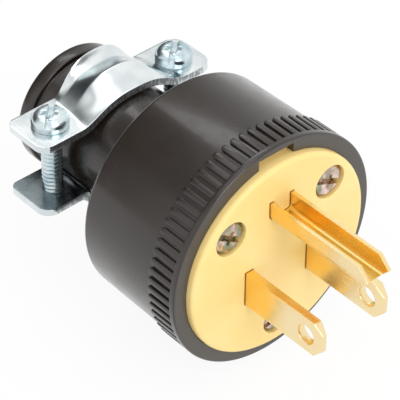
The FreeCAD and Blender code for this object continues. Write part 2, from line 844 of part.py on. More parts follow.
def ear_corner(end, side, tall):
    """Return what is cut away to round one corner of an ear."""
    radius = value("dims.strap_corner")
    outwards = 1 if end > value("-dims.clamp_back") else -1
    centre = Vector(end - outwards * radius, side * (value("dims.strap_reach") - radius), -tall / 2)
    far = centre + Vector(outwards * 2 * radius, side * 2 * radius, 0)
    low = Vector(min(centre.x, far.x), min(centre.y, far.y), centre.z)
    block = Part.makeBox(2 * radius, 2 * radius, tall, low)
    return block.cut(Part.makeCylinder(radius, tall, centre))


def make_saddle(label, ear, half, way):
    """Return a stamped saddle: arch, pressed ridge and valley, flared rear lip and two ears."""
    stations = strap_stations()
    shape = (value(ear), value(half), way)
    sections = [saddle_section(place, crown, *shape) for place, crown in stations]
    strap = Part.makeLoft(sections, True, True).removeSplitter()

    front, rear = stations[0][0], stations[-1][0]
    tall = 4 * value("dims.lip_crown")
    for side in (1, -1):
        for end in (front, rear):
            strap = strap.cut(ear_corner(end, side, tall))
        foot = Vector(value("-dims.clamp_back"), side * value("dims.clamp_side"), -tall / 2)
        gap = value("dims.screw_gap" if way > 0 else "dims.thread_gap")
        strap = strap.cut(Part.makeCylinder((value("dims.clamp_core") + gap) / 2, tall, foot))
    item = doc.addObject("Part::Feature", label)
    item.Label = label
    item.Shape = strap
    item.Placement = Placement()
    return item


# Assembly

nodes = [
    make_shell(),
    make_face_plate(),
    make_terminal_block(),
    make_blade("line_blade", 1),
    make_blade("neutral_blade", -1),
    make_ground_pin(),
    make_assembly_screws(),
    make_terminal_screw("line_terminal_screw", HEAD_TO_LINE_SIDE, BLADE_FACE, BLADE_Z),
    make_terminal_screw("neutral_terminal_screw", HEAD_TO_NEUTRAL_SIDE, "-(%s)" % BLADE_FACE, BLADE_Z),
    make_terminal_screw("ground_terminal_screw", HEAD_UP, "0", GROUND_FLOOR + " + dims.ground_sheet"),
    make_saddle("upper_clamp", "dims.upper_ear", "dims.upper_arch_side", 1),
    make_saddle("lower_clamp", "dims.lower_ear", "dims.lower_arch_side", -1),
    make_clamp_screws(),
]
doc.recompute()

for item in doc.Objects:
    if "Invalid" in item.State or "Error" in item.State:
        raise RuntimeError(item.Label + " did not build")
for node in nodes:
    if node.Shape.isNull() or not node.Shape.isValid():
        raise RuntimeError(node.Label + " has no valid shape")

os.makedirs("parts", exist_ok=True)
for node in nodes:
    node.Shape.exportStep("parts/%s.step" % node.Label)
    print(node.Label, len(node.Shape.Solids), "solid", round(node.Shape.Volume, 2), "mm3")
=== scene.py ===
import math
from typing import NamedTuple

import bmesh
import bpy
from bpy.props import FloatProperty, FloatVectorProperty, IntProperty, PointerProperty
from mathutils import Matrix, Vector


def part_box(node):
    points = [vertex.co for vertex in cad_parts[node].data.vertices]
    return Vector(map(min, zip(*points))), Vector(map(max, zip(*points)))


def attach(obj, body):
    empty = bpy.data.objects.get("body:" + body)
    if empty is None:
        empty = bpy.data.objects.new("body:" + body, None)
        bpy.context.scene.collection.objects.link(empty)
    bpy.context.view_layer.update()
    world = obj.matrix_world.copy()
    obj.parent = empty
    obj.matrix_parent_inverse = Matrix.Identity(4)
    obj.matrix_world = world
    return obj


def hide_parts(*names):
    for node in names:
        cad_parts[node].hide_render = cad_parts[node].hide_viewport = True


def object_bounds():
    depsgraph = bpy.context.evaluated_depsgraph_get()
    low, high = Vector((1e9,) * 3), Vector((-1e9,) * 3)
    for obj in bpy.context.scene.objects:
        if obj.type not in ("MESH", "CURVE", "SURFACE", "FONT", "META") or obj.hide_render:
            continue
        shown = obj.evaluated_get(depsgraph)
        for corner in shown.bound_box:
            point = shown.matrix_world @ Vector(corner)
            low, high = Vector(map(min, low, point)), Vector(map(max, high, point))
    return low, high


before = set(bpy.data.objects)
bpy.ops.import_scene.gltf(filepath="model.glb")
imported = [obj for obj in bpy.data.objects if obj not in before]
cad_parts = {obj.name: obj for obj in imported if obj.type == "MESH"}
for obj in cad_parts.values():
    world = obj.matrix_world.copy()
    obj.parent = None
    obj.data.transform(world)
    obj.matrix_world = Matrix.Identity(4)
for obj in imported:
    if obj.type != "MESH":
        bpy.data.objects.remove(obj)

bl_info = {
    "name": "Grounded plug",
    "version": (1, 0, 0),
    "blender": (4, 5, 0),
    "location": "3D View > Sidebar > Plug",
    "description": "Dresses a packed grounded plug: shell, face, contacts, screws and cord clamp",
    "category": "Object",
}

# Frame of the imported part, in metres: +X leads into a socket and +Z is up

MM = 0.001
NEAR = 1e-7
SLIVER = 0.005 * MM
BODY = "root"
ALONG = Vector((1, 0, 0))
ACROSS = Vector((0, 1, 0))
UP = Vector((0, 0, 1))
CAD_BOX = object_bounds()
SHELL_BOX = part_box("shell")
FACE_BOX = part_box("face_plate")
BLADE_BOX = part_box("line_blade")
BLADE_MIDDLE = (BLADE_BOX[0] + BLADE_BOX[1]) / 2
BLADE_SIZE = BLADE_BOX[1] - BLADE_BOX[0]
PIN_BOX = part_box("ground_pin")
UPPER_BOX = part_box("upper_clamp")
LOWER_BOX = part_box("lower_clamp")
CLAMP_SCREW_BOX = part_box("clamp_screws")


def length(name, description, metres):
    """Return a property for a length, shown in the scene's unit."""
    return FloatProperty(name=name, description=description, default=metres, unit="LENGTH", precision=5)


def number(name, description, value, unit="NONE"):
    """Return a property for a plain number, a power or a focal length."""
    return FloatProperty(name=name, description=description, default=value, unit=unit)


def angle(name, description, degrees):
    """Return a property for an angle."""
    return FloatProperty(
        name=name, description=description, default=math.radians(degrees), subtype="ANGLE"
    )


def colour(name, description, values):
    """Return a property for a linear colour."""
    return FloatVectorProperty(
        name=name, description=description, default=values, subtype="COLOR", size=3, min=0.0, max=1.0
    )


# Sizes and colours

class ShellSizes(bpy.types.PropertyGroup):
    """Black housing, with distances measured back from the yellow face."""

    rim_radius: length("Rim radius", "Smooth rim in front of the ribs", SHELL_BOX[1].z)
    ring_back: length("Ring back", "Flat front ring", -SHELL_BOX[1].x)
    shell_back: length("Shell back", "Rear end of the neck", -SHELL_BOX[0].x)
    rim_round: length("Rim round", "Rounded front edge of the rim", 0.35 * MM)
    drum_front: length("Drum front radius", "Drum between the ribs", 19.75 * MM)
    drum_rear: length("Drum rear radius", "Drum at its rear edge", 19.33 * MM)
    drum_back: length("Drum back", "Rear edge of the drum", 23.4 * MM)
    drum_round: length("Drum round", "Rounded rear edge of the drum", 0.5 * MM)
    rib_count: IntProperty(name="Ribs", description="Grip ribs round the drum", default=72, min=12)
    rib_width: length("Rib width", "One grip rib", 1.05 * MM)
    rib_corner: length("Rib corner", "Rounded rear corners of a rib", 0.4 * MM)
    rib_round: length("Rib round", "Soft edge along the top of a rib", 0.12 * MM)
    rib_front: length("Rib front", "Ribs start behind the rim", 2.65 * MM)
    rib_end: length("Rib end", "Rounded rear ends of the ribs", 7.6 * MM)
    rib_drop: length("Rib drop", "Tops of the ribs below the rim", 0.03 * MM)
    rib_root: length("Rib root", "Ribs sunk into the drum's wall", 0.3 * MM)
    shoulder_radius: length("Shoulder radius", "Inner end of the sloping back", 12.8 * MM)
    shoulder_back: length("Shoulder back", "Inner end of the sloping back", 26.0 * MM)
    shoulder_round: length("Shoulder round", "Soft bend at the end of the slope", 0.8 * MM)
    neck_radius: length("Neck radius", "Neck under the clamp", 10.0 * MM)
    neck_start: length("Neck start", "Neck meets the back of the drum", 28.6 * MM)
    neck_round: length("Neck round", "Hollow at the root of the neck", 0.85 * MM)
    flange_radius: length("Flange radius", "End flange of the neck", 10.85 * MM)
    flange_front: length("Flange front", "Front of the end flange", 47.9 * MM)
    flange_round: length("Flange round", "Rounded edges of the flange", 0.6 * MM)
    cord_radius: length("Cord radius", "Bore for the cord", 7.2 * MM)
    mouth_round: length("Mouth round", "Rounded mouth of the bore", 0.7 * MM)
    chamber_radius: length("Chamber radius", "Wiring chamber", 16.6 * MM)
    chamber_back: length("Chamber back", "Rear wall of the chamber", 21.6 * MM)
    boss_radius: length("Boss radius", "Screw bosses in the chamber", 3.9 * MM)
    boss_front: length("Boss front", "Front ends of the screw bosses", 8.5 * MM)
    boss_root: length("Boss root", "Ends of the screw bosses in the rear wall", 22.0 * MM)
    pilot_radius: length("Pilot radius", "Holes that the assembly screws bite", 1.45 * MM)
    pilot_back: length("Pilot back", "Bottoms of those holes", 18.8 * MM)


class FaceSizes(bpy.types.PropertyGroup):
    """Yellow face plate with its slots, screw recesses and key."""

    face_radius: length("Face radius", "Yellow face", FACE_BOX[1].y)
    face_back: length("Face back", "Back of the plate", -FACE_BOX[0].x)
    face_round: length("Face round", "Rounded front edge", 0.8 * MM)
    ring_gap: length("Ring gap", "Face to shell, all round", 0.1 * MM)
    key_radius: length("Key radius", "Top of the key tab", FACE_BOX[1].z)
    key_width: length("Key width", "Key tab at the top", 6.8 * MM)
    key_back: length("Key back", "Front of the key tab", 3.0 * MM)
    key_gap: length("Key gap", "Key tab to its notch", 0.1 * MM)
    slot_gap: length("Slot gap", "Contact to its slot, on each side", 0.15 * MM)
    edge_round: length("Edge round", "Soft edges of the slots", 0.1 * MM)
    recess_radius: length("Recess radius", "Recess for a screw head", 2.95 * MM)
    recess_depth: length("Recess depth", "Recess for a screw head", 2.7 * MM)
    recess_round: length("Recess round", "Soft edge of that recess", 0.12 * MM)
    passage_radius: length("Passage radius", "Hole that lets a screw through", 1.85 * MM)


class ContactSizes(bpy.types.PropertyGroup):
    """Brass blades and folded ground pin."""

    blade_tip: length("Blade tip", "Blade in front of the face", BLADE_BOX[1].x)
    tail_back: length("Tail back", "Ends of the tails inside the shell", -BLADE_BOX[0].x)
    blade_side: length("Blade side", "Middle of a blade from the axis", BLADE_MIDDLE.y)
    blade_thickness: length("Blade thickness", "Side to side", BLADE_SIZE.y)
    blade_middle: length("Blade middle", "Height of a blade's middle", BLADE_MIDDLE.z)
    blade_width: length("Blade width", "Up and down", 6.35 * MM)
    blade_corner: length("Blade corner", "Corners cut off at the tip", 1.64 * MM)
    bevel_run: length("Bevel run", "Length of the bevels at the tip", 1.5 * MM)
    tip_thickness: length("Tip thickness", "Thickness left at the end", 0.8 * MM)
    hole_radius: length("Hole radius", "Hole near the tip", 1.7 * MM)
    hole_reach: length("Hole reach", "Hole in front of the face", 13.25 * MM)
    shoulder_overhang: length("Shoulder overhang", "Shoulder beyond each edge", 1.4 * MM)
    shoulder_depth: length("Shoulder depth", "Shoulder along the axis", 1.5 * MM)
    terminal_back: length("Terminal back", "Terminal screws behind the face", 12.6 * MM)
    terminal_hole: length("Terminal hole", "Radius of the hole for a terminal screw", 1.75 * MM)
    pin_tip: length("Pin tip", "Ground pin in front of the face", PIN_BOX[1].x - 0.5 * MM)
    pin_floor: length("Pin floor", "Underside of the ground pin", PIN_BOX[0].z + 1.35 * MM)
    tail_floor: length("Tail floor", "Underside of the ground pin's tail", PIN_BOX[0].z)
    pin_top: length("Pin top", "Upper edges of the ground pin", PIN_BOX[1].z)
    pin_width: length("Pin width", "Side to side", 4.8 * MM)
    pin_sheet: length("Pin sheet", "Thickness of the folded sheet", 0.65 * MM)
    pin_fold: length("Pin fold", "Outside of the two folds", 1.3 * MM)
    pin_hollow: length("Pin hollow", "Inside of the two folds", 0.65 * MM)
    pin_corner: length("Pin corner", "Corners cut off the legs at the tip", 2.0 * MM)
    pin_nose: length("Pin nose", "Bevel under the tip", 1.5 * MM)
    pin_tail: length("Pin tail", "Width of the flat tail", 6.4 * MM)
    tail_sheet: length("Tail sheet", "Thickness of the flat tail", 1.0 * MM)
    edge_round: length("Edge round", "Worn edges of the stampings", 0.14 * MM)
    wear_start: length("Wear start", "Brass starts to look rubbed, in front of the face", 4.5 * MM)
    wear_end: length("Wear end", "Brass is rubbed all over, in front of the face", 9.5 * MM)


class ScrewSizes(bpy.types.PropertyGroup):
    """Assembly screws in the face and clamp screws through the ears."""

    assembly_side: length("Assembly side", "Upper assembly screws, from the middle", 10.1 * MM)
    assembly_top: length("Assembly top", "Upper assembly screws, above the axis", 8.8 * MM)
    assembly_bottom: length("Assembly bottom", "Lower assembly screw, below the axis", 12.9 * MM)
    assembly_head: length("Assembly head", "Head radius", 2.7 * MM)
    assembly_height: length("Assembly height", "Head height", 2.4 * MM)
    assembly_core: length("Assembly core", "Shank radius", 1.4 * MM)
    assembly_length: length("Assembly length", "Under the head", 16.0 * MM)
    cross_depth: length("Cross depth", "Depth of the cross recess", 1.5 * MM)
    cross_width: length("Cross width", "Width of an arm at the top", 1.0 * MM)
    cross_span: length("Cross span", "Length of the cross at the top", 3.6 * MM)
    cross_taper: number("Cross taper", "Size left at the bottom of the tool that cuts the cross", 0.35)
    assembly_round: length("Assembly round", "Rounded top edge of a head", 0.6 * MM)
    head_round: length("Head round", "Rounded top edges of the clamp screws' heads", 1.4 * MM)
    edge_round: length("Edge round", "Soft edges of slots and heads", 0.05 * MM)
    clamp_head: length("Clamp head", "Head radius", 3.05 * MM)
    clamp_height: length("Clamp height", "Head height", 2.2 * MM)
    clamp_edge: length("Clamp edge", "Rounded lower edge of a head", 0.2 * MM)
    clamp_side: length("Clamp side", "Clamp screws, from the middle", 12.79 * MM)
    clamp_back: length("Clamp back", "Clamp screws behind the face", 39.3 * MM)
    thread_crest: length("Thread crest", "Outer radius of the thread", 1.72 * MM)
    thread_root: length("Thread root", "Inner radius of the thread", 1.5 * MM)
    thread_pitch: length("Thread pitch", "From one turn to the next", 0.79 * MM)
    thread_sunk: length("Thread sunk", "Shank carried on into the head", 0.3 * MM)
    slot_width: length("Slot width", "Slot across a head", 1.0 * MM)
    slot_depth: length("Slot depth", "Slot across a head", 1.1 * MM)


class ClampSizes(bpy.types.PropertyGroup):
    """Pressed steel saddles over and under the neck."""

    strap_front: length("Strap front", "Front edges of the saddles", -UPPER_BOX[1].x)
    strap_rear: length("Strap rear", "Rear edges of the saddles", -UPPER_BOX[0].x)
    strap_reach: length("Strap reach", "Ends of the ears on the neutral side", UPPER_BOX[1].y + 0.6 * MM)
    line_reach: length("Line reach", "Ends of the ears on the line side", UPPER_BOX[1].y - 0.1 * MM)
    lip_crown: length("Lip crown", "Top of the flared rear lip", UPPER_BOX[1].z)
    lower_lip: length("Lower lip", "Bottom of the lower saddle's lip", -LOWER_BOX[0].z)
    sheet: length("Sheet", "Thickness of the steel", 1.25 * MM)
    front_corner: length("Front corner", "Rounded front corners of the ears", 2.3 * MM)
    rear_corner: length("Rear corner", "Rounded rear corners on the neutral side", 1.4 * MM)
    line_corner: length("Line corner", "Rounded rear corners on the line side", 2.6 * MM)
    upper_ear: length("Upper ear", "Outer face of the upper ears", 8.65 * MM)
    lower_ear: length("Lower ear", "Outer face of the lower ears", 5.3 * MM)
    upper_arch: length("Upper arch", "Where the upper arch would meet its ears", 8.8 * MM)
    upper_rear: length("Upper rear", "Where the upper arch would meet its ears at the rear", 7.4 * MM)
    upper_middle: length("Upper middle", "Middle of the upper arch, which sits to one side", 0.7 * MM)
    lower_arch: length("Lower arch", "Where the lower arch would meet its ears", 10.0 * MM)
    upper_fullness: number("Upper fullness", "Power of the upper arch's curve", 2.6)
    lower_fullness: number("Lower fullness", "Power of the lower arch's curve", 2.5)
    upper_bend: length("Upper bend", "Height over which an upper ear bends into the arch", 2.2 * MM)
    lower_bend: length("Lower bend", "Height over which a lower ear bends into the arch", 1.2 * MM)
    front_crown: length("Front crown", "Top of the arch at the front edge", 11.6 * MM)
    ridge_crown: length("Ridge crown", "Top of the arch at the pressed ridge", 13.4 * MM)
    valley_crown: length("Valley crown", "Bottom of the valley behind the ridge", 12.3 * MM)
    ridge_run: length("Ridge run", "Ridge in front of the rear edge", 4.6 * MM)
    valley_run: length("Valley run", "Valley in front of the rear edge", 1.4 * MM)
    upper_hole: length("Upper hole", "Radius of the holes in the upper ears", 2.05 * MM)
    lower_hole: length("Lower hole", "Radius of the tapped holes in the lower ears", 1.65 * MM)
    edge_round: length("Edge round", "Sheared edges of the steel", 0.2 * MM)


class Finishes(bpy.types.PropertyGroup):
    """Colours of the mouldings, the plating and the stage."""

    black: colour("Black", "Semi-gloss black moulding", (0.017, 0.011, 0.008))
    black_worn: colour("Black, worn", "Lighter flow marks in the black moulding", (0.023, 0.016, 0.012))
    black_ring: colour("Black, ring", "Matt front ring of the shell", (0.058, 0.049, 0.041))
    yellow: colour("Yellow", "Satin yellow moulding", (0.92, 0.675, 0.255))
    yellow_pale: colour("Yellow, pale", "Paler clouds in the yellow moulding", (0.95, 0.72, 0.305))
    brass: colour("Brass", "Bright stamped brass", (0.95, 0.64, 0.16))
    brass_pale: colour("Brass, pale", "Dulled patches of the brass", (0.93, 0.71, 0.32))
    brass_rubbed: colour("Brass, rubbed", "Brass rubbed by sockets", (0.93, 0.75, 0.43))
    zinc: colour("Zinc", "Bright bluish zinc plating", (0.68, 0.74, 0.76))
    zinc_pale: colour("Zinc, pale", "Paler clouds in the plating", (0.82, 0.86, 0.86))
    # Painted shade: darker zinc for the valley behind the ridge, and the paler patches in the inner
    # faces' painted shade
    zinc_painted_shade: colour("Zinc, dull", "Rubbed plating in the pressed valley", (0.48, 0.54, 0.56))
    # Painted shade: zinc darkened for the inner faces of the saddles
    zinc_inner_painted_shade: colour("Zinc, inner", "Dull plating on the inner faces", (0.18, 0.22, 0.23))
    zinc_shear: colour("Zinc, sheared", "Torn edges of the steel", (0.34, 0.36, 0.36))
    screw: colour("Screw", "Bright plated screws", (0.44, 0.58, 0.64))
    screw_pale: colour("Screw, pale", "Paler patches of the plating", (0.74, 0.82, 0.84))
    bronze: colour("Bronze", "Chromate colour of the face screws", (0.46, 0.37, 0.28))
    bronze_pink: colour("Bronze, pink", "Pink sheen of the chromate", (0.86, 0.66, 0.60))
    bronze_green: colour("Bronze, green", "Green sheen of the chromate", (0.30, 0.32, 0.22))
    insulator: colour("Insulator", "Ivory terminal block", (0.85, 0.80, 0.68))
    green: colour("Green", "Dyed ground screw", (0.06, 0.30, 0.12))
    floor: colour("Floor", "Pale studio floor", (0.92, 0.92, 0.92))


class StageSizes(bpy.types.PropertyGroup):
    """Camera of the photograph and the studio round the plug."""

    azimuth: angle("Azimuth", "Camera's turn round the plug", 48.228)
    elevation: angle("Elevation", "Camera above the horizon", 40.224)
    roll: angle("Roll", "Camera's lean to one side", 0.372)
    distance: length("Distance", "Camera to the point that it looks at", 350.572 * MM)
    target_side: length("Target side", "Middle of the picture, sideways", -16.402 * MM)
    target_height: length("Target height", "Middle of the picture, upwards", 20.023 * MM)
    lens: number("Lens", "Focal length in millimetres", 220.0, "CAMERA")
    key_power: number("Key power", "Lamp in front of the face", 1.55, "POWER")
    rear_power: number("Rear power", "Lamp behind the clamp", 0.26, "POWER")
    top_power: number("Top power", "Wide lamp overhead", 1.9, "POWER")
    side_level: number("Side level", "Light from the dim part of the neutral side", 0.55)
    rear_level: number("Rear level", "Light from right behind the plug", 0.10)
    floor_size: length("Floor size", "Side of the square floor", 6.0)
    floor_gap: length("Floor gap", "Floor below the plug", 0.02 * MM)
    floor_glow: number("Floor glow", "Share of plain white that the camera sees in the floor", 0.92)


# Start and shape of a mesh

def new_wire(points, closed=False):
    """Return a bmesh with a chain of edges through points, and its vertices in order."""
    shape = bmesh.new()
    verts = [shape.verts.new(point) for point in points]
    pairs = list(zip(verts, verts[1:]))
    if closed:
        pairs.append((verts[-1], verts[0]))
    for pair in pairs:
        shape.edges.new(pair)
    return shape, verts


def bevel(shape, geom, reach, segments, affect):
    """Round corners of a wire or a sheet, or edges of a solid."""
    bmesh.ops.bevel(
        shape,
        geom=geom,
        offset=reach,
        offset_type="OFFSET",
        segments=segments,
        profile=0.5,
        affect=affect,
        material=-1,
    )


def round_corners(shape, verts, reaches, segments=5):
    """Round each corner of a wire or a sheet by its own reach."""
    for vert, reach in zip(verts, reaches):
        if reach:
            bevel(shape, [vert], reach, segments, "VERTICES")


def close_up(shape):
    """Merge doubles and turn all faces outwards."""
    bmesh.ops.remove_doubles(shape, verts=shape.verts[:], dist=NEAR)
    bmesh.ops.recalc_face_normals(shape, faces=shape.faces[:])


def whole(shape):
    """Return all vertices, edges and faces of a shape."""
    return shape.verts[:] + shape.edges[:] + shape.faces[:]


def moved_verts(extruded):
    """Return the vertices that an extrusion made."""
    return [part for part in extruded["geom"] if isinstance(part, bmesh.types.BMVert)]


def turned(corners, steps, closed=False):
    """Return a body turned about X from (place, radius, reach of its rounding) corners."""
    shape, verts = new_wire([(place, 0, radius) for place, radius, _ in corners], closed)
    round_corners(shape, verts, [reach for _, _, reach in corners])
    bmesh.ops.spin(
        shape,
        geom=shape.verts[:] + shape.edges[:],
        cent=(0, 0, 0),
        axis=ALONG,
        angle=math.tau,
        steps=steps,
        use_merge=True,
    )
    close_up(shape)
    return shape


def flat(points, reaches=(), segments=5):
    """Return a flat face through points, with some of its corners rounded."""
    shape = bmesh.new()
    verts = [shape.verts.new(point) for point in points]
    shape.faces.new(verts)
    round_corners(shape, verts, reaches, segments)
    return shape


def grow(shape, offset):
    """Extrude a flat face into a solid and return the vertices of its far end."""
    moved = moved_verts(bmesh.ops.extrude_face_region(shape, geom=shape.faces[:]))
    bmesh.ops.translate(shape, vec=offset, verts=moved)
    close_up(shape)
    return moved


def prism(points, offset, reaches=(), segments=5):
    """Return the solid that a flat outline sweeps along an offset."""
    shape = flat(points, reaches, segments)
    grow(shape, offset)
    return shape


def cut_off(shape, point, normal):
    """Cut a solid off beyond a plane and close the cut."""
    cut = bmesh.ops.bisect_plane(
        shape, geom=whole(shape), plane_co=point, plane_no=normal, clear_outer=True
    )
    rim = [part for part in cut["geom_cut"] if isinstance(part, bmesh.types.BMEdge)]
    bmesh.ops.edgeloop_fill(shape, edges=rim)
    close_up(shape)


def rod(start, axis, radius, reach, segments=48):
    """Return a plain cylinder from a point along an axis."""
    shape = bmesh.new()
    turn = UP.rotation_difference(axis).to_matrix().to_4x4()
    bmesh.ops.create_cone(
        shape,
        cap_ends=True,
        segments=segments,
        radius1=radius,
        radius2=radius,
        depth=reach,
        matrix=Matrix.Translation(start + axis * reach / 2) @ turn,
    )
    return shape


def block(low, high):
    """Return a box between two corners."""
    shape = bmesh.new()
    size = high - low
    place = Matrix.Translation((low + high) / 2) @ Matrix.Diagonal((size.x, size.y, size.z, 1))
    bmesh.ops.create_cube(shape, size=1, matrix=place)
    return shape


def join(shape, *others):
    """Add other meshes to a mesh and free them."""
    for other in others:
        scrap = bpy.data.meshes.new("scrap")
        other.to_mesh(scrap)
        other.free()
        shape.from_mesh(scrap)
        bpy.data.meshes.remove(scrap)
    return shape


# Pieces as objects

def add_object(name, shape, *materials):
    """Return a new object with a finished mesh at the origin."""
    mesh = bpy.data.meshes.new(name)
    shape.to_mesh(mesh)
    shape.free()
    for material in materials:
        mesh.materials.append(material)
    item = bpy.data.objects.new(name, mesh)
    bpy.context.scene.collection.objects.link(item)
    return item


def discard(item):
    """Remove an object and its mesh."""
    mesh = item.data
    bpy.data.objects.remove(item)
    bpy.data.meshes.remove(mesh)


def apply_modifiers(piece):
    """Turn a piece's modifiers into its mesh."""
    graph = bpy.context.evaluated_depsgraph_get()
    finished = bpy.data.meshes.new_from_object(piece.evaluated_get(graph))
    rough = piece.data
    piece.modifiers.clear()
    piece.data = finished
    bpy.data.meshes.remove(rough)
    finished.name = piece.name


def combine(piece, operation, shape):
    """Cut a solid out of a piece, join it to the piece or keep what both share, without slivers."""
    tool = add_object("tool", shape)
    change = piece.modifiers.new("combine", "BOOLEAN")
    change.operation = operation
    change.solver = "EXACT"
    change.object = tool
    apply_modifiers(piece)
    discard(tool)
    if not piece.data.polygons:
        raise RuntimeError(piece.name + " is empty after a cut")
    clean = bmesh.new()
    clean.from_mesh(piece.data)
    bmesh.ops.dissolve_degenerate(clean, dist=SLIVER, edges=clean.edges[:])
    clean.to_mesh(piece.data)
    clean.free()


def soften(piece, width, sharp):
    """Round the edges of a piece that turn by more than an angle and keep its flat faces flat."""
    edges = piece.modifiers.new("edges", "BEVEL")
    edges.width = width
    edges.segments = 2
    edges.limit_method = "ANGLE"
    edges.angle_limit = math.radians(sharp)
    flats = piece.modifiers.new("flats", "WEIGHTED_NORMAL")
    flats.weight = 80
    flats.keep_sharp = True


def shade(piece, crease=180):
    """Shade a piece smooth, with creases where two faces meet at more than an angle in degrees."""
    for face in piece.data.polygons:
        face.use_smooth = True
    piece.data.set_sharp_from_angle(angle=math.radians(crease))


def settle(piece, slot, *nodes):
    """Let a piece ride on the part and stand for nodes, which it hides; the slot is not used."""
    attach(piece, BODY)
    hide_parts(*nodes)


# Finishes

def put(tree, socket, value):
    """Give a socket a constant, or link an output to it."""
    if isinstance(value, bpy.types.NodeSocket):
        tree.links.new(value, socket)
    else:
        socket.default_value = value


def add_node(tree, kind, inputs, **settings):
    """Return a new node with its settings and inputs filled in."""
    node = tree.nodes.new(kind)
    for name, value in settings.items():
        setattr(node, name, value)
    for socket, value in inputs.items():
        put(tree, node.inputs[socket], value)
    return node


def maths(tree, operation, first, second):
    """Return two numbers or outputs put together by an operation."""
    return add_node(tree, "ShaderNodeMath", {0: first, 1: second}, operation=operation).outputs["Value"]


def spread(tree, source, start, end, low, high, way="LINEAR"):
    """Return a value that runs from low to high as its source runs from start to end."""
    inputs = {"Value": source, "From Min": start, "From Max": end, "To Min": low, "To Max": high}
    return add_node(tree, "ShaderNodeMapRange", inputs, interpolation_type=way).outputs["Result"]


class Finish:
    """A material built from nodes on Object coordinates."""

    colour_inputs = (6, 7)
    colour_output = 2

    def __init__(self, name, metallic=0.0):
        self.material = bpy.data.materials.new(name)
        self.material.use_nodes = True
        self.tree = self.material.node_tree
        self.place = self.tree.nodes.new("ShaderNodeTexCoord").outputs["Object"]
        self.axes = add_node(self.tree, "ShaderNodeSeparateXYZ", {"Vector": self.place}).outputs
        self.set("Metallic", metallic)

    def set(self, name, value):
        """Give one of the shader's own sockets a constant or an output."""
        put(self.tree, self.tree.nodes["Principled BSDF"].inputs[name], value)

    def noise(self, scale, detail=3.0, stretch=(1, 1, 1)):
        """Return a noise pattern, stretched along the axes."""
        mapping = add_node(self.tree, "ShaderNodeMapping", {"Vector": self.place, "Scale": stretch})
        inputs = {"Vector": mapping.outputs["Vector"], "Scale": scale, "Detail": detail}
        return add_node(self.tree, "ShaderNodeTexNoise", inputs).outputs["Fac"]

    def clouds(self, source, low, high, start=0.35, end=0.65):
        """Return a value between two numbers that follows a noise pattern's middle range."""
        return spread(self.tree, source, start, end, low, high)

    def zone(self, letter, start, end):
        """Return a share that rises from 0 to 1 along an axis."""
        return spread(self.tree, self.axes[letter], start, end, 0, 1)

    def zone_aside(self, letter, start, end):
        """Return a share that rises from 0 to 1 away from the middle, on both sides."""
        away = self.maths("ABSOLUTE", self.axes[letter], 0)
        return spread(self.tree, away, start, end, 0, 1)

    def maths(self, operation, first, second):
        """Return two numbers or outputs put together by an operation."""
        return maths(self.tree, operation, first, second)

    def mixed(self, share, first, second):
        """Return a colour between two colours or colour outputs."""
        inputs = {"Factor": share}
        for socket, value in zip(self.colour_inputs, (first, second)):
            inputs[socket] = value if isinstance(value, bpy.types.NodeSocket) else (*value, 1)
        return add_node(self.tree, "ShaderNodeMix", inputs, data_type="RGBA").outputs[self.colour_output]

    def bump(self, height, strength, distance):
        """Give the surface a fine relief."""
        inputs = {"Height": height, "Strength": strength, "Distance": distance}
        self.set("Normal", add_node(self.tree, "ShaderNodeBump", inputs).outputs["Normal"])


def black_moulding(context):
    """Return the semi-gloss black of the shell, matt on its front ring."""
    tones = context.scene.plug_finishes
    ring = -context.scene.plug_shell.ring_back
    matt_from = ring - 0.12 * MM
    matt_to = ring - 0.02 * MM
    finish = Finish("black_moulding")
    flow = finish.clouds(finish.noise(140, 4.0, (0.5, 1, 1)), 0, 1)
    front = finish.zone("X", matt_from, matt_to)
    skin = finish.mixed(flow, tones.black, tones.black_worn)
    finish.set("Base Color", finish.mixed(front, skin, tones.black_ring))
    sheen = finish.clouds(finish.noise(420, 4.0), 0.21, 0.28)
    finish.set("Roughness", finish.maths("MAXIMUM", sheen, finish.maths("MULTIPLY", front, 0.5)))
    finish.set("Specular IOR Level", 0.5)
    finish.set("Coat Weight", 0.35)
    finish.set("Coat Roughness", 0.10)
    return finish.material


def yellow_moulding(context):
    """Return the satin yellow of the face."""
    tones = context.scene.plug_finishes
    finish = Finish("yellow_moulding")
    pale = finish.clouds(finish.noise(95, 3.0), 0, 1)
    finish.set("Base Color", finish.mixed(pale, tones.yellow, tones.yellow_pale))
    finish.set("Roughness", finish.clouds(finish.noise(700, 3.0), 0.40, 0.50))
    finish.bump(finish.noise(4200, 2.0), 0.05, 0.02 * MM)
    finish.set("Subsurface Weight", 0.12)
    finish.set("Subsurface Radius", (1.0, 0.6, 0.2))
    finish.set("Subsurface Scale", 0.8 * MM)
    return finish.material


def stamped_brass(context):
    """Return bright brass with dulled patches, paler on the outer sides that sockets rub."""
    tones = context.scene.plug_finishes
    sizes = context.scene.plug_contacts
    half = sizes.pin_width / 2
    finish = Finish("stamped_brass", 1.0)
    patches = finish.noise(420, 6.0, (0.6, 1, 1))
    specks = finish.clouds(finish.noise(2600, 4.0), 0, 0.2)
    dulled = finish.maths("ADD", finish.clouds(patches, 0, 0.8), specks)
    plain = finish.mixed(dulled, tones.brass, tones.brass_pale)
    pushed_in = finish.zone("X", sizes.wear_start, sizes.wear_end)
    touched = finish.zone_aside("Y", half - sizes.pin_sheet, half - sizes.edge_round)
    wear = finish.maths("MULTIPLY", pushed_in, touched)
    finish.set("Base Color", finish.mixed(wear, plain, tones.brass_rubbed))
    finish.set("Roughness", finish.clouds(patches, 0.20, 0.28))
    return finish.material


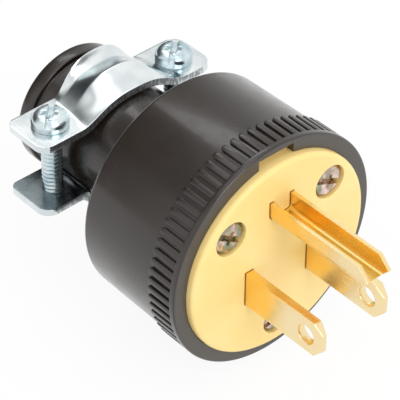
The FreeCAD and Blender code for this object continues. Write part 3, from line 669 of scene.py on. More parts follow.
def zinc_plating(context):
    """Return the bright bluish plating of the pressed saddles, with painted shade in the valley behind
    the ridge.
    """
    tones = context.scene.plug_finishes
    sizes = context.scene.plug_clamp
    fade = 0.8 * MM
    valley = sizes.valley_run - sizes.strap_rear
    ridge = sizes.ridge_run - sizes.strap_rear
    finish = Finish("zinc_plating", 1.0)
    tint = finish.noise(260, 2.0)
    plating = finish.mixed(finish.clouds(tint, 0, 1), tones.zinc, tones.zinc_pale)
    # Painted shade: the slope from the pressed ridge down into the valley is darkened on the raised
    # arch, mottled by noise
    behind = finish.zone("X", ridge, ridge - fade)
    ahead = finish.zone("X", valley - fade / 2, valley + fade / 2)
    raised = finish.zone_aside("Z", sizes.upper_ear + fade, sizes.front_crown)
    # Noise that mottles the painted shade in the valley
    rubbed = finish.clouds(finish.noise(900, 4.0, (0.5, 1, 1)), 0.35, 1)
    in_valley = finish.maths("MULTIPLY", behind, ahead)
    shaded = finish.maths("MULTIPLY", in_valley, finish.maths("MULTIPLY", raised, rubbed))
    finish.set("Base Color", finish.mixed(shaded, plating, tones.zinc_painted_shade))
    finish.set("Roughness", finish.clouds(tint, 0.18, 0.26))
    return finish.material


def painted_shade_zinc(context):
    """Return zinc painted dark as shade for the inner faces of the saddles, which face the neck, with
    paler patches.
    """
    tones = context.scene.plug_finishes
    finish = Finish("painted_shade_zinc", 1.0)
    # Noise that mottles the painted shade and its roughness
    shade_mottle = finish.noise(420, 4.0)
    paler = finish.clouds(shade_mottle, 0, 0.4)
    finish.set("Base Color", finish.mixed(paler, tones.zinc_inner_painted_shade, tones.zinc_painted_shade))
    finish.set("Roughness", finish.clouds(shade_mottle, 0.22, 0.34))
    return finish.material


def sheared_zinc(context):
    """Return the torn, mottled edge of the pressed steel."""
    tones = context.scene.plug_finishes
    finish = Finish("sheared_zinc", 1.0)
    tears = finish.noise(2400, 4.0, (1, 1, 0.4))
    bright = finish.clouds(tears, 0, 1, 0.44, 0.60)
    finish.set("Base Color", finish.mixed(bright, tones.zinc_shear, tones.zinc))
    finish.set("Roughness", finish.clouds(tears, 0.42, 0.30))
    finish.bump(tears, 0.4, 0.06 * MM)
    return finish.material


def bright_plating(context):
    """Return the bright bluish plating of the clamp screws."""
    tones = context.scene.plug_finishes
    finish = Finish("bright_plating", 1.0)
    tint = finish.clouds(finish.noise(420, 3.0), 0, 1)
    finish.set("Base Color", finish.mixed(tint, tones.screw, tones.screw_pale))
    finish.set("Roughness", finish.clouds(finish.noise(420, 2.0), 0.20, 0.30))
    return finish.material


def bronze_plating(context):
    """Return the iridescent bronze plating of the face screws."""
    tones = context.scene.plug_finishes
    finish = Finish("bronze_plating", 1.0)
    pink = finish.clouds(finish.noise(520, 2.0), 0, 1, 0.42, 0.58)
    green = finish.clouds(finish.noise(610, 2.0, (1, 1.3, 0.8)), 0, 1, 0.46, 0.60)
    sheen = finish.mixed(pink, tones.bronze, tones.bronze_pink)
    finish.set("Base Color", finish.mixed(green, sheen, tones.bronze_green))
    finish.set("Roughness", finish.clouds(finish.noise(1600, 3.0), 0.20, 0.32))
    return finish.material


def plain_moulding(name, tone):
    """Return a matt moulding for pieces inside the shell."""
    darker = 0.88
    finish = Finish(name)
    dark = [part * darker for part in tone]
    mottled = finish.clouds(finish.noise(160, 4.0), 0, 1)
    finish.set("Base Color", finish.mixed(mottled, tone, dark))
    finish.set("Roughness", finish.clouds(finish.noise(900, 3.0), 0.45, 0.58))
    finish.bump(finish.noise(4000, 2.0), 0.05, 0.02 * MM)
    return finish.material


# Shell

def screw_places(screws):
    """Return the sideways place and height of each assembly screw."""
    return (
        (screws.assembly_side, screws.assembly_top),
        (-screws.assembly_side, screws.assembly_top),
        (0.0, -screws.assembly_bottom),
    )


class PLUG_OT_shell(bpy.types.Operator):
    """Build the black shell: ribbed drum, neck, end flange, bore and chamber"""

    bl_idname = "plug.shell"
    bl_label = "Shell"

    steps = 288
    boss_steps = 32
    crease = 50

    def execute(self, context):
        sizes = context.scene.plug_shell
        face = context.scene.plug_face
        bore = face.face_radius + face.ring_gap
        shape = turned(
            (
                (-sizes.ring_back, bore, 0),
                (-sizes.ring_back, sizes.rim_radius, sizes.rim_round),
                (-sizes.rib_front, sizes.rim_radius, sizes.rib_round),
                (-sizes.rib_front, sizes.drum_front, 0),
                (-sizes.drum_back, sizes.drum_rear, sizes.drum_round),
                (-sizes.shoulder_back, sizes.shoulder_radius, sizes.shoulder_round),
                (-sizes.neck_start, sizes.neck_radius, sizes.neck_round),
                (-sizes.flange_front, sizes.neck_radius, sizes.flange_round / 2),
                (-sizes.flange_front, sizes.flange_radius, sizes.flange_round / 2),
                (-sizes.shell_back, sizes.flange_radius, sizes.flange_round),
                (-sizes.shell_back, sizes.cord_radius, sizes.mouth_round),
                (-sizes.chamber_back, sizes.cord_radius, 0),
                (-sizes.chamber_back, sizes.chamber_radius, 0),
                (-face.face_back, sizes.chamber_radius, 0),
                (-face.face_back, bore, 0),
            ),
            self.steps,
            closed=True,
        )
        piece = add_object("shell_moulding", shape, black_moulding(context))
        half = face.key_width / 2 + face.key_gap
        low = Vector((-face.face_back, -half, sizes.chamber_radius))
        high = Vector((-sizes.ring_back + face.face_back, half, face.key_radius + face.key_gap))
        combine(piece, "DIFFERENCE", block(low, high))
        together = join(bmesh.new(), self.ribs(sizes), *self.bosses(context))
        together.from_mesh(piece.data)
        together.to_mesh(piece.data)
        together.free()
        shade(piece, self.crease)
        settle(piece, "black_moulding", "shell")
        return {"FINISHED"}

    def ribs(self, sizes):
        """Return the ring of grip ribs, each a bar with rounded rear corners and soft top edges."""
        half = sizes.rib_width / 2
        root = sizes.drum_front - sizes.rib_root
        top = sizes.rim_radius - sizes.rib_drop
        front, rear = sizes.rim_round - sizes.rib_front, -sizes.rib_end
        corners = ((front, -half), (front, half), (rear, half), (rear, -half))
        shape = prism(
            [(place, across, root) for place, across in corners],
            Vector((0, 0, top - root)),
            (0, 0, sizes.rib_corner, sizes.rib_corner),
            segments=4,
        )
        crest = [edge for edge in shape.edges if all(vert.co.z > top - NEAR for vert in edge.verts)]
        bevel(shape, crest, sizes.rib_round, 2, "EDGES")
        others = sizes.rib_count - 1
        bmesh.ops.spin(
            shape,
            geom=whole(shape),
            cent=(0, 0, 0),
            axis=ALONG,
            angle=math.tau * others / sizes.rib_count,
            steps=others,
            use_duplicate=True,
        )
        bmesh.ops.recalc_face_normals(shape, faces=shape.faces[:])
        return shape

    def bosses(self, context):
        """Return the tubes in the chamber that the assembly screws bite."""
        sizes = context.scene.plug_shell
        tubes = []
        for side, height in screw_places(context.scene.plug_screws):
            tube = turned(
                (
                    (-sizes.boss_root, 0, 0),
                    (-sizes.boss_root, sizes.boss_radius, 0),
                    (-sizes.boss_front, sizes.boss_radius, 0),
                    (-sizes.boss_front, sizes.pilot_radius, 0),
                    (-sizes.pilot_back, sizes.pilot_radius, 0),
                    (-sizes.pilot_back, 0, 0),
                ),
                self.boss_steps,
            )
            bmesh.ops.translate(tube, vec=(0, side, height), verts=tube.verts[:])
            tubes.append(tube)
        return tubes


# Face plate

def folded_channel(sizes, gap, start, end):
    """Return the ground pin's U along the axis, grown all round by a gap."""
    half = sizes.pin_width / 2 + gap
    inside = sizes.pin_width / 2 - sizes.pin_sheet - gap
    top = sizes.pin_top + gap
    bottom = sizes.pin_floor - gap
    floor = sizes.pin_floor + sizes.pin_sheet + gap
    section = (
        (-half, bottom, sizes.pin_fold + gap),
        (half, bottom, sizes.pin_fold + gap),
        (half, top, 0),
        (inside, top, 0),
        (inside, floor, sizes.pin_hollow - gap),
        (-inside, floor, sizes.pin_hollow - gap),
        (-inside, top, 0),
        (-half, top, 0),
    )
    points = [(start, across, up) for across, up, _ in section]
    return prism(points, Vector((end - start, 0, 0)), [reach for _, _, reach in section])


class PLUG_OT_face(bpy.types.Operator):
    """Build the yellow face with its slots, screw recesses and key tab"""

    bl_idname = "plug.face"
    bl_label = "Face"

    steps = 256
    recess_steps = 64

    def execute(self, context):
        sizes = context.scene.plug_face
        back = sizes.face_back
        puck = turned(
            (
                (-back, 0, 0),
                (-back, sizes.face_radius, 0),
                (0, sizes.face_radius, sizes.face_round),
                (0, 0, 0),
            ),
            self.steps,
        )
        piece = add_object("face_moulding", puck, yellow_moulding(context))
        half = sizes.key_width / 2
        inside = context.scene.plug_shell.chamber_radius
        combine(
            piece,
            "UNION",
            block(Vector((-back, -half, inside)), Vector((-sizes.key_back, half, sizes.key_radius))),
        )
        combine(piece, "DIFFERENCE", self.openings(context))
        combine(piece, "DIFFERENCE", self.shoulder_pockets(context))
        shade(piece)
        soften(piece, sizes.edge_round, sharp=60)
        settle(piece, "yellow_moulding", "face_plate")
        return {"FINISHED"}

    def blade_slots(self, context, start, end, overhang=0):
        """Return a block for each blade, with the slot's gap all round and an overhang up and down."""
        contacts = context.scene.plug_contacts
        gap = context.scene.plug_face.slot_gap
        half_thick = contacts.blade_thickness / 2 + gap
        half_wide = contacts.blade_width / 2 + overhang + gap
        slots = []
        for side in (contacts.blade_side, -contacts.blade_side):
            low = Vector((start, side - half_thick, contacts.blade_middle - half_wide))
            high = Vector((end, side + half_thick, contacts.blade_middle + half_wide))
            slots.append(block(low, high))
        return slots

    def openings(self, context):
        """Return what the contacts and the screws need cut through the plate."""
        sizes = context.scene.plug_face
        contacts = context.scene.plug_contacts
        clear = sizes.face_back
        start = -2 * clear
        mouth = sizes.recess_radius + sizes.recess_round * 2
        tools = self.blade_slots(context, start, clear)
        tools.append(folded_channel(contacts, sizes.slot_gap, start, clear))
        for side, height in screw_places(context.scene.plug_screws):
            recess = turned(
                (
                    (start, 0, 0),
                    (start, sizes.passage_radius, 0),
                    (-sizes.recess_depth, sizes.passage_radius, 0),
                    (-sizes.recess_depth, sizes.recess_radius, 0),
                    (0, sizes.recess_radius, sizes.recess_round),
                    (0, mouth, 0),
                    (clear, mouth, 0),
                    (clear, 0, 0),
                ),
                self.recess_steps,
            )
            bmesh.ops.translate(recess, vec=(0, side, height), verts=recess.verts[:])
            tools.append(recess)
        return join(*tools)

    def shoulder_pockets(self, context):
        """Return the pockets at the back that seat the contacts' shoulders."""
        sizes = context.scene.plug_face
        contacts = context.scene.plug_contacts
        start = -2 * sizes.face_back
        depth = contacts.shoulder_depth - sizes.face_back
        tools = self.blade_slots(context, start, depth, contacts.shoulder_overhang)
        half = contacts.pin_width / 2 + contacts.shoulder_overhang + sizes.slot_gap
        low = Vector((start, -half, contacts.tail_floor - sizes.slot_gap))
        high = Vector((depth, half, contacts.pin_floor + contacts.pin_sheet + sizes.slot_gap))
        tools.append(block(low, high))
        return join(*tools)


# Contacts

class PLUG_OT_blades(bpy.types.Operator):
    """Build the line and neutral blades with holed, bevelled tips and flat tails"""

    bl_idname = "plug.blades"
    bl_label = "Blades"

    def execute(self, context):
        sizes = context.scene.plug_contacts
        brass = stamped_brass(context)
        holes = (
            (sizes.hole_reach, sizes.hole_radius),
            (-sizes.terminal_back, sizes.terminal_hole),
        )
        for name, node, side in (
            ("line_stamping", "line_blade", sizes.blade_side),
            ("neutral_stamping", "neutral_blade", -sizes.blade_side),
        ):
            piece = add_object(name, self.stamping(context, side), brass)
            for place, radius in holes:
                start = Vector((place, side - sizes.blade_thickness, sizes.blade_middle))
                combine(piece, "DIFFERENCE", rod(start, ACROSS, radius, 2 * sizes.blade_thickness))
            shade(piece)
            soften(piece, sizes.edge_round, sharp=25)
            settle(piece, "brass", node)
        return {"FINISHED"}

    def stamping(self, context, side):
        """Return one blade, thinned towards its tip."""
        sizes = context.scene.plug_contacts
        back = -context.scene.plug_face.face_back
        half = sizes.blade_width / 2
        wide = half + sizes.shoulder_overhang
        front = back + sizes.shoulder_depth
        tip = sizes.blade_tip
        tip_half = half - sizes.blade_corner
        upper = (
            (-sizes.tail_back, half),
            (back, half),
            (back, wide),
            (front, wide),
            (front, half),
            (tip - sizes.blade_corner, half),
            (tip, tip_half),
        )
        lower = tuple((place, -height) for place, height in reversed(upper))
        start = side - sizes.blade_thickness / 2
        points = [(place, start, sizes.blade_middle + height) for place, height in upper + lower]
        shape = prism(points, Vector((0, sizes.blade_thickness, 0)))
        bevel_start = (tip - sizes.bevel_run, 0, 0)
        bmesh.ops.bisect_plane(shape, geom=whole(shape), plane_co=bevel_start, plane_no=ALONG)
        share = sizes.tip_thickness / sizes.blade_thickness
        for vert in shape.verts:
            if vert.co.x > tip - NEAR:
                vert.co.y = side + (vert.co.y - side) * share
        close_up(shape)
        return shape


class PLUG_OT_ground_pin(bpy.types.Operator):
    """Build the ground pin, folded to a U, with its flat tail"""

    bl_idname = "plug.ground_pin"
    bl_label = "Ground pin"

    def execute(self, context):
        sizes = context.scene.plug_contacts
        piece = add_object("ground_stamping", self.channel(context), stamped_brass(context))
        combine(piece, "UNION", self.tail(context))
        combine(piece, "UNION", self.step(context))
        start = Vector((-sizes.terminal_back, 0, sizes.tail_floor - sizes.tail_sheet))
        combine(piece, "DIFFERENCE", rod(start, UP, sizes.terminal_hole, 3 * sizes.tail_sheet))
        shade(piece)
        soften(piece, sizes.edge_round, sharp=35)
        settle(piece, "brass", "ground_pin")
        return {"FINISHED"}

    def channel(self, context):
        """Return the U with its tip cut from above and below."""
        sizes = context.scene.plug_contacts
        shape = folded_channel(sizes, 0, -context.scene.plug_face.face_back, sizes.pin_tip)
        corner = Vector((sizes.pin_tip - sizes.pin_corner, 0, sizes.pin_top))
        nose = Vector((sizes.pin_tip - sizes.pin_nose, 0, sizes.pin_floor))
        cut_off(shape, corner, ALONG + UP)
        cut_off(shape, nose, ALONG - UP)
        return shape

    def tail(self, context):
        """Return the shoulders and the flat tail inside the shell."""
        sizes = context.scene.plug_contacts
        back = -context.scene.plug_face.face_back
        front = back + sizes.shoulder_depth
        wide = sizes.pin_width / 2 + sizes.shoulder_overhang
        narrow = sizes.pin_tail / 2
        right = ((-sizes.tail_back, narrow), (back, narrow), (back, wide), (front, wide))
        left = tuple((place, -across) for place, across in reversed(right))
        points = [(place, across, sizes.tail_floor) for place, across in right + left]
        return prism(points, Vector((0, 0, sizes.tail_sheet)))

    def step(self, context):
        """Return the short rise from the flat tail to the floor of the U."""
        sizes = context.scene.plug_contacts
        back = -context.scene.plug_face.face_back
        inside = sizes.pin_width / 2 - sizes.pin_sheet
        low = Vector((back, -inside, sizes.tail_floor + sizes.tail_sheet / 2))
        high = Vector((back + sizes.shoulder_depth / 2, inside, sizes.pin_floor + sizes.pin_sheet / 2))
        return block(low, high)


# Screws

def cross_tool(sizes, top):
    """Return a tapered cross that cuts a recess downwards along -X from a top."""
    arm = sizes.cross_width / 2
    span = sizes.cross_span / 2
    depth = sizes.cross_depth
    outline = []
    for turn in range(4):
        way = Matrix.Rotation(turn * math.pi / 2, 2)
        for corner in ((span, -arm), (span, arm), (arm, arm)):
            outline.append(way @ Vector(corner))
    shape = flat([(top + depth, spot.x, spot.y) for spot in outline])
    bottom = grow(shape, -2 * depth * ALONG)
    bmesh.ops.scale(shape, vec=(1, sizes.cross_taper, sizes.cross_taper), verts=bottom)
    return shape


def slotted(sizes, head, top, radius):
    """Return a head along X with a slot right across it and a deeper cross recess."""
    scrap = add_object("scrap", head)
    half = sizes.slot_width / 2
    low = Vector((top - sizes.slot_depth, -2 * radius, -half))
    high = Vector((top + sizes.slot_depth, 2 * radius, half))
    combine(scrap, "DIFFERENCE", block(low, high))
    combine(scrap, "DIFFERENCE", cross_tool(sizes, top))
    cut = bmesh.new()
    cut.from_mesh(scrap.data)
    discard(scrap)
    return cut


class PLUG_OT_assembly_screws(bpy.types.Operator):
    """Build the three recessed screws that hold the face to the shell"""

    bl_idname = "plug.assembly_screws"
    bl_label = "Assembly screws"

    steps = 64
    turns = (math.radians(-25), math.radians(-32), math.radians(20))

    def execute(self, context):
        sizes = context.scene.plug_screws
        seat = -context.scene.plug_face.recess_depth
        top = seat + sizes.assembly_height
        radius = sizes.assembly_head
        tip = seat - sizes.assembly_length
        together = bmesh.new()
        for turn, (side, height) in zip(self.turns, screw_places(sizes)):
            blank = turned(
                (
                    (tip, 0, 0),
                    (tip + sizes.assembly_core, sizes.assembly_core, 0),
                    (seat, sizes.assembly_core, 0),
                    (seat, radius, 0),
                    (top, radius, sizes.assembly_round),
                    (top, 0, 0),
                ),
                self.steps,
            )
            screw = slotted(sizes, blank, top, radius)
            place = Matrix.Translation((0, side, height)) @ Matrix.Rotation(turn, 4, "X")
            bmesh.ops.transform(screw, matrix=place, verts=screw.verts[:])
            join(together, screw)
        piece = add_object("face_screws", together, bronze_plating(context))
        shade(piece)
        soften(piece, sizes.edge_round, sharp=45)
        settle(piece, "plated_screw", "assembly_screws")
        return {"FINISHED"}


class PLUG_OT_clamp_screws(bpy.types.Operator):
    """Build the two slotted machine screws of the clamp with their threads"""

    bl_idname = "plug.clamp_screws"
    bl_label = "Clamp screws"

    head_steps = 72
    steps_per_turn = 32
    spare_turns = 4
    seam = 1e-6
    turns = (math.radians(131), math.radians(134))

    def execute(self, context):
        sizes = context.scene.plug_screws
        seat = context.scene.plug_clamp.upper_ear
        together = bmesh.new()
        for way, turn in zip((1, -1), self.turns):
            screw = slotted(sizes, self.head(sizes), sizes.clamp_height, sizes.clamp_head)
            join(screw, self.thread(sizes, seat))
            upright = Matrix.Rotation(-math.pi / 2, 4, "Y")
            driven = Matrix.Rotation(turn - math.pi / 2, 4, "Z")
            place = Matrix.Translation((-sizes.clamp_back, way * sizes.clamp_side, seat))
            bmesh.ops.transform(screw, matrix=place @ driven @ upright, verts=screw.verts[:])
            join(together, screw)
        piece = add_object("clamp_fasteners", together, bright_plating(context))
        shade(piece)
        soften(piece, sizes.edge_round, sharp=60)
        settle(piece, "plated_screw", "clamp_screws")
        return {"FINISHED"}

    def head(self, sizes):
        """Return a round head along X with its underside at the origin."""
        top = sizes.clamp_height
        radius = sizes.clamp_head
        return turned(
            (
                (0, 0, 0),
                (0, radius, sizes.clamp_edge),
                (top, radius, sizes.head_round),
                (top, 0, 0),
            ),
            self.head_steps,
        )

    def thread(self, sizes, seat):
        """Return a threaded shank along -X, wound past both ends and cut flat there."""
        end = CLAMP_SCREW_BOX[0].z - seat
        lead_in = 1.5 * sizes.thread_pitch
        start = end - lead_in
        turns = math.ceil(-end / sizes.thread_pitch) + self.spare_turns
        crest = sizes.thread_pitch / 2
        crest_half = sizes.thread_pitch / 10
        shape, _ = new_wire(
            [
                (start, 0, sizes.thread_root),
                (start + crest - crest_half, 0, sizes.thread_crest),
                (start + crest + crest_half, 0, sizes.thread_crest),
                (start + sizes.thread_pitch, 0, sizes.thread_root),
            ]
        )
        steps = self.steps_per_turn
        bmesh.ops.spin(
            shape,
            geom=shape.verts[:] + shape.edges[:],
            cent=(0, 0, 0),
            axis=ALONG,
            dvec=(sizes.thread_pitch / steps, 0, 0),
            angle=math.tau * turns,
            steps=steps * turns,
        )
        bmesh.ops.remove_doubles(shape, verts=shape.verts[:], dist=self.seam)
        cut_off(shape, end * ALONG, -ALONG)
        cut_off(shape, sizes.thread_sunk * ALONG, ALONG)
        return shape


# Clamp saddles

def eased(share):
    """Return a share from 0 to 1 that starts and ends gently."""
    return share * share * (3 - 2 * share)


class Saddle(NamedTuple):
    """What differs between the upper saddle, whose way is 1, and the lower one, whose way is -1."""

    way: int
    ear: float
    lip: float
    feet: tuple
    fullness: float
    bend: float
    middle: float = 0.0

    def reach(self, rearward, across):
        """Return how far a place lies from the arch's middle, as a share of its half width."""
        front, rear = self.feet
        middle = self.middle * (1 - rearward)
        return abs(across - middle) / (front + (rear - front) * rearward)

    def arch(self, tall, share):
        """Return the height above the ears, with a soft bend at each foot of the arch."""
        height = tall * (1 - share ** self.fullness)
        overlap = max(self.bend - abs(height), 0)
        return max(height, 0) + overlap ** 2 / (4 * self.bend)

    def slope(self, tall, share):
        """Return how steep the arch is, which fades to 0 over the bend into an ear."""
        height = tall * (1 - share ** self.fullness)
        fade = min(max((height + self.bend) / (2 * self.bend), 0), 1)
        return fade * self.fullness * tall / self.feet[0] * share ** (self.fullness - 1)


def crown_height(sizes, lip, place):
    """Return the height of an arch's crown at a place along the axis."""
    front, rear = -sizes.strap_front, -sizes.strap_rear
    ridge = rear + sizes.ridge_run
    valley = rear + sizes.valley_run
    if place > ridge:
        share = eased((front - place) / (front - ridge))
        return sizes.front_crown + (sizes.ridge_crown - sizes.front_crown) * share
    if place > valley:
        share = (ridge - place) / (ridge - valley)
        return sizes.ridge_crown + (sizes.valley_crown - sizes.ridge_crown) * share
    share = (valley - place) / (valley - rear)
    return sizes.valley_crown + (lip - sizes.valley_crown) * share * share


class PLUG_OT_clamp(bpy.types.Operator):
    """Build the two pressed saddles of the cord clamp"""

    bl_idname = "plug.clamp"
    bl_label = "Clamp"

    arch_steps = 140
    stations = 48

    def execute(self, context):
        sizes = context.scene.plug_clamp
        screws = context.scene.plug_screws
        plating = zinc_plating(context)
        torn = sheared_zinc(context)
        # Zinc painted dark as shade, for the inner faces
        inside = painted_shade_zinc(context)
        upper = Saddle(
            way=1,
            ear=sizes.upper_ear,
            lip=sizes.lip_crown,
            feet=(sizes.upper_arch, sizes.upper_rear),
            fullness=sizes.upper_fullness,
            bend=sizes.upper_bend,
            middle=sizes.upper_middle,
        )
        lower = Saddle(
            way=-1,
            ear=sizes.lower_ear,
            lip=sizes.lower_lip,
            feet=(sizes.lower_arch, sizes.lower_arch),
            fullness=sizes.lower_fullness,
            bend=sizes.lower_bend,
        )
        for name, node, saddle, hole in (
            ("upper_saddle", "upper_clamp", upper, sizes.upper_hole),
            ("lower_saddle", "lower_clamp", lower, sizes.lower_hole),
        ):
            piece = add_object(name, self.sheet(sizes, saddle), plating, torn, inside)
            combine(piece, "INTERSECT", self.plan(sizes))
            for side in (screws.clamp_side, -screws.clamp_side):
                start = Vector((-screws.clamp_back, side, saddle.way * saddle.ear - 2 * sizes.sheet))
                combine(piece, "DIFFERENCE", rod(start, UP, hole, 4 * sizes.sheet))
            shade(piece)
            soften(piece, sizes.edge_round, sharp=50)
            settle(piece, "zinc_steel", node)
        return {"FINISHED"}

    def plan(self, sizes):
        """Return a tall block with the rounded outline that a saddle has from above."""
        clear = 0.01 * MM
        front, rear = clear - sizes.strap_front, -sizes.strap_rear - clear
        near, far = -sizes.strap_reach - clear, sizes.line_reach
        tall = 2 * sizes.lip_crown
        points = [(front, near, -tall), (front, far, -tall), (rear, far, -tall), (rear, near, -tall)]
        reaches = (sizes.front_corner, sizes.front_corner, sizes.line_corner, sizes.rear_corner)
        return prism(points, 2 * tall * UP, reaches, segments=8)

    def sheet(self, sizes, saddle):
        """Return a saddle's steel: flat ears and an arch that changes along the axis."""
        front, rear = -sizes.strap_front, -sizes.strap_rear
        middle = Matrix.Translation(((front + rear) / 2, 0, 0))
        plan = middle @ Matrix.Diagonal(((front - rear) / 2, sizes.strap_reach, 1, 1))
        shape = bmesh.new()
        bmesh.ops.create_grid(
            shape, x_segments=self.stations, y_segments=self.arch_steps, size=1, matrix=plan
        )
        inner = set(moved_verts(bmesh.ops.extrude_face_region(shape, geom=shape.faces[:])))
        for vert in shape.verts:
            tall = crown_height(sizes, saddle.lip, vert.co.x) - saddle.ear
            share = saddle.reach((front - vert.co.x) / (front - rear), vert.co.y)
            vert.co.z = saddle.ear + saddle.arch(tall, share)
            if vert in inner:
                vert.co.z -= sizes.sheet * math.hypot(1, saddle.slope(tall, share))
        for face in shape.faces:
            skins = {vert in inner for vert in face.verts}
            places = [vert.co.x for vert in face.verts]
            if len(skins) == 2 and max(places) - min(places) < NEAR:
                face.material_index = 1
            elif skins == {True}:
                # The inner skin takes the zinc painted dark as shade
                face.material_index = 2
        if saddle.way < 0:
            bmesh.ops.scale(shape, vec=(1, 1, -1), verts=shape.verts[:])
        bmesh.ops.recalc_face_normals(shape, faces=shape.faces[:])
        return shape


# Pieces inside the shell

class PLUG_OT_inner_pieces(bpy.types.Operator):
    """Give the terminal block and the terminal screws their finishes"""

    bl_idname = "plug.inner_pieces"
    bl_label = "Inner pieces"

    def execute(self, context):
        tones = context.scene.plug_finishes
        coats = {
            "terminal_block": plain_moulding("ivory_insulator", tones.insulator),
            "line_terminal_screw": stamped_brass(context),
            "neutral_terminal_screw": bright_plating(context),
            "ground_terminal_screw": plain_moulding("green_dye", tones.green),
        }
        for node, material in coats.items():
            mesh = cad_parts[node].data
            mesh.materials.clear()
            mesh.materials.append(material)
        return {"FINISHED"}


# Stage

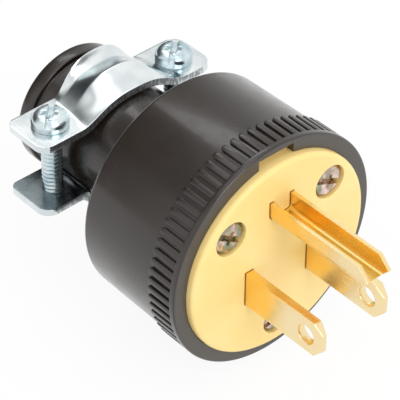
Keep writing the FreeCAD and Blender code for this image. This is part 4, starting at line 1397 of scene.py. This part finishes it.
class PLUG_OT_stage(bpy.types.Operator):
    """Set up the floor, the studio light and the camera of the photograph"""

    bl_idname = "plug.stage"
    bl_label = "Stage"

    key_place = Vector((0.55, -0.10, 0.40))
    key_size = (0.35, 0.35)
    rear_place = Vector((-0.50, 0.22, 0.59))
    rear_size = (0.30, 0.12)
    top_place = Vector((0.0, -0.10, 0.80))
    top_size = (1.1, 0.65)
    line_side_fade = (-0.3, 0.35)
    far_side_fade = (-0.5, -0.7)
    rear_fade = (-0.78, -0.58)
    sensor_width = 36

    def execute(self, context):
        sizes = context.scene.plug_stage
        context.scene.view_settings.view_transform = "Standard"
        self.floor(context)
        self.sky(context)
        self.lamp(context, "key_lamp", self.key_place, self.key_size, sizes.key_power)
        self.lamp(context, "rear_lamp", self.rear_place, self.rear_size, sizes.rear_power)
        self.lamp(context, "top_lamp", self.top_place, self.top_size, sizes.top_power)
        self.camera(context)
        return {"FINISHED"}

    def floor(self, context):
        """Lay a pale floor under the rim that stays white in the picture and keeps a faint shadow."""
        sizes = context.scene.plug_stage
        place = Matrix.Translation((0, 0, CAD_BOX[0].z - sizes.floor_gap))
        shape = bmesh.new()
        bmesh.ops.create_grid(
            shape, x_segments=1, y_segments=1, size=sizes.floor_size / 2, matrix=place
        )
        material = bpy.data.materials.new("studio_floor")
        material.use_nodes = True
        tree = material.node_tree
        tree.nodes.remove(tree.nodes["Principled BSDF"])
        tone = (*context.scene.plug_finishes.floor, 1)
        matt = add_node(tree, "ShaderNodeBsdfDiffuse", {"Color": tone}).outputs["BSDF"]
        glow = tree.nodes.new("ShaderNodeEmission").outputs["Emission"]
        rays = tree.nodes.new("ShaderNodeLightPath").outputs
        seen = maths(tree, "MAXIMUM", rays["Is Camera Ray"], rays["Is Glossy Ray"])
        share = maths(tree, "MULTIPLY", seen, sizes.floor_glow)
        mix = add_node(tree, "ShaderNodeMixShader", {"Fac": share, 1: matt, 2: glow})
        put(tree, tree.nodes["Material Output"].inputs["Surface"], mix.outputs["Shader"])
        floor = add_object("studio_floor", shape, material)

    def sky(self, context):
        """Light the studio all round, dimmer over the neutral side and right behind the plug."""
        sizes = context.scene.plug_stage
        world = bpy.data.worlds.new("studio")
        world.use_nodes = True
        context.scene.world = world
        tree = world.node_tree
        way = tree.nodes.new("ShaderNodeTexCoord").outputs["Generated"]
        parts = add_node(tree, "ShaderNodeSeparateXYZ", {"Vector": way}).outputs
        dim = sizes.side_level
        line_side = spread(tree, parts["Y"], *self.line_side_fade, dim, 1, "SMOOTHSTEP")
        far_side = spread(tree, parts["Y"], *self.far_side_fade, dim, 1, "SMOOTHSTEP")
        rear = spread(tree, parts["X"], *self.rear_fade, sizes.rear_level, 1, "SMOOTHSTEP")
        level = maths(tree, "MULTIPLY", maths(tree, "MAXIMUM", line_side, far_side), rear)
        seen = tree.nodes.new("ShaderNodeLightPath").outputs["Is Camera Ray"]
        white = add_node(tree, "ShaderNodeMix", {"Factor": seen, "A": level, "B": 1.0})
        back = tree.nodes["Background"].inputs
        put(tree, back["Color"], (1, 1, 1, 1))
        put(tree, back["Strength"], white.outputs["Result"])

    def lamp(self, context, name, place, size, power):
        """Hang a soft lamp that looks at the plug."""
        light = bpy.data.lights.new(name, "AREA")
        light.shape = "RECTANGLE"
        light.size, light.size_y = size
        light.energy = power
        item = bpy.data.objects.new(name, light)
        item.location = place
        item.rotation_mode = "QUATERNION"
        item.rotation_quaternion = place.to_track_quat("Z", "Y")
        context.scene.collection.objects.link(item)

    def camera(self, context):
        """Put the camera where the photograph was taken from."""
        sizes = context.scene.plug_stage
        ahead = Vector((math.sin(sizes.azimuth), -math.cos(sizes.azimuth), 0))
        back = ahead * math.cos(sizes.elevation) + UP * math.sin(sizes.elevation)
        level = Vector((math.cos(sizes.azimuth), math.sin(sizes.azimuth), 0))
        right = Matrix.Rotation(sizes.roll, 3, back) @ level
        above = back.cross(right)
        data = bpy.data.cameras.new("camera")
        data.lens = sizes.lens
        data.sensor_width = self.sensor_width
        item = bpy.data.objects.new("camera", data)
        axes = Matrix((right, above, back)).transposed().to_4x4()
        target = Vector((0, sizes.target_side, sizes.target_height))
        item.matrix_world = Matrix.Translation(target + back * sizes.distance) @ axes
        context.scene.collection.objects.link(item)
        context.scene.camera = item


class PLUG_PT_pieces(bpy.types.Panel):
    """Lists what builds the plug"""

    bl_idname = "PLUG_PT_pieces"
    bl_label = "Grounded plug"
    bl_space_type = "VIEW_3D"
    bl_region_type = "UI"
    bl_category = "Plug"

    def draw(self, context):
        for operator in OPERATORS:
            self.layout.operator(operator.bl_idname)


# Registration

GROUPS = (
    ("plug_shell", ShellSizes),
    ("plug_face", FaceSizes),
    ("plug_contacts", ContactSizes),
    ("plug_screws", ScrewSizes),
    ("plug_clamp", ClampSizes),
    ("plug_finishes", Finishes),
    ("plug_stage", StageSizes),
)
OPERATORS = (
    PLUG_OT_stage,
    PLUG_OT_shell,
    PLUG_OT_face,
    PLUG_OT_blades,
    PLUG_OT_ground_pin,
    PLUG_OT_assembly_screws,
    PLUG_OT_clamp,
    PLUG_OT_clamp_screws,
    PLUG_OT_inner_pieces,
)


def register():
    """Register the properties, the operators and the panel."""
    for name, group in GROUPS:
        bpy.utils.register_class(group)
        setattr(bpy.types.Scene, name, PointerProperty(type=group))
    for item in (*OPERATORS, PLUG_PT_pieces):
        bpy.utils.register_class(item)


def unregister():
    """Take back what register added."""
    for item in (PLUG_PT_pieces, *reversed(OPERATORS)):
        bpy.utils.unregister_class(item)
    for name, group in reversed(GROUPS):
        delattr(bpy.types.Scene, name)
        bpy.utils.unregister_class(group)


def main():
    """Build the stage and every piece."""
    register()
    bpy.ops.plug.stage()
    bpy.ops.plug.shell()
    bpy.ops.plug.face()
    bpy.ops.plug.blades()
    bpy.ops.plug.ground_pin()
    bpy.ops.plug.assembly_screws()
    bpy.ops.plug.clamp()
    bpy.ops.plug.clamp_screws()
    bpy.ops.plug.inner_pieces()


if __name__ == "__main__":
    main()
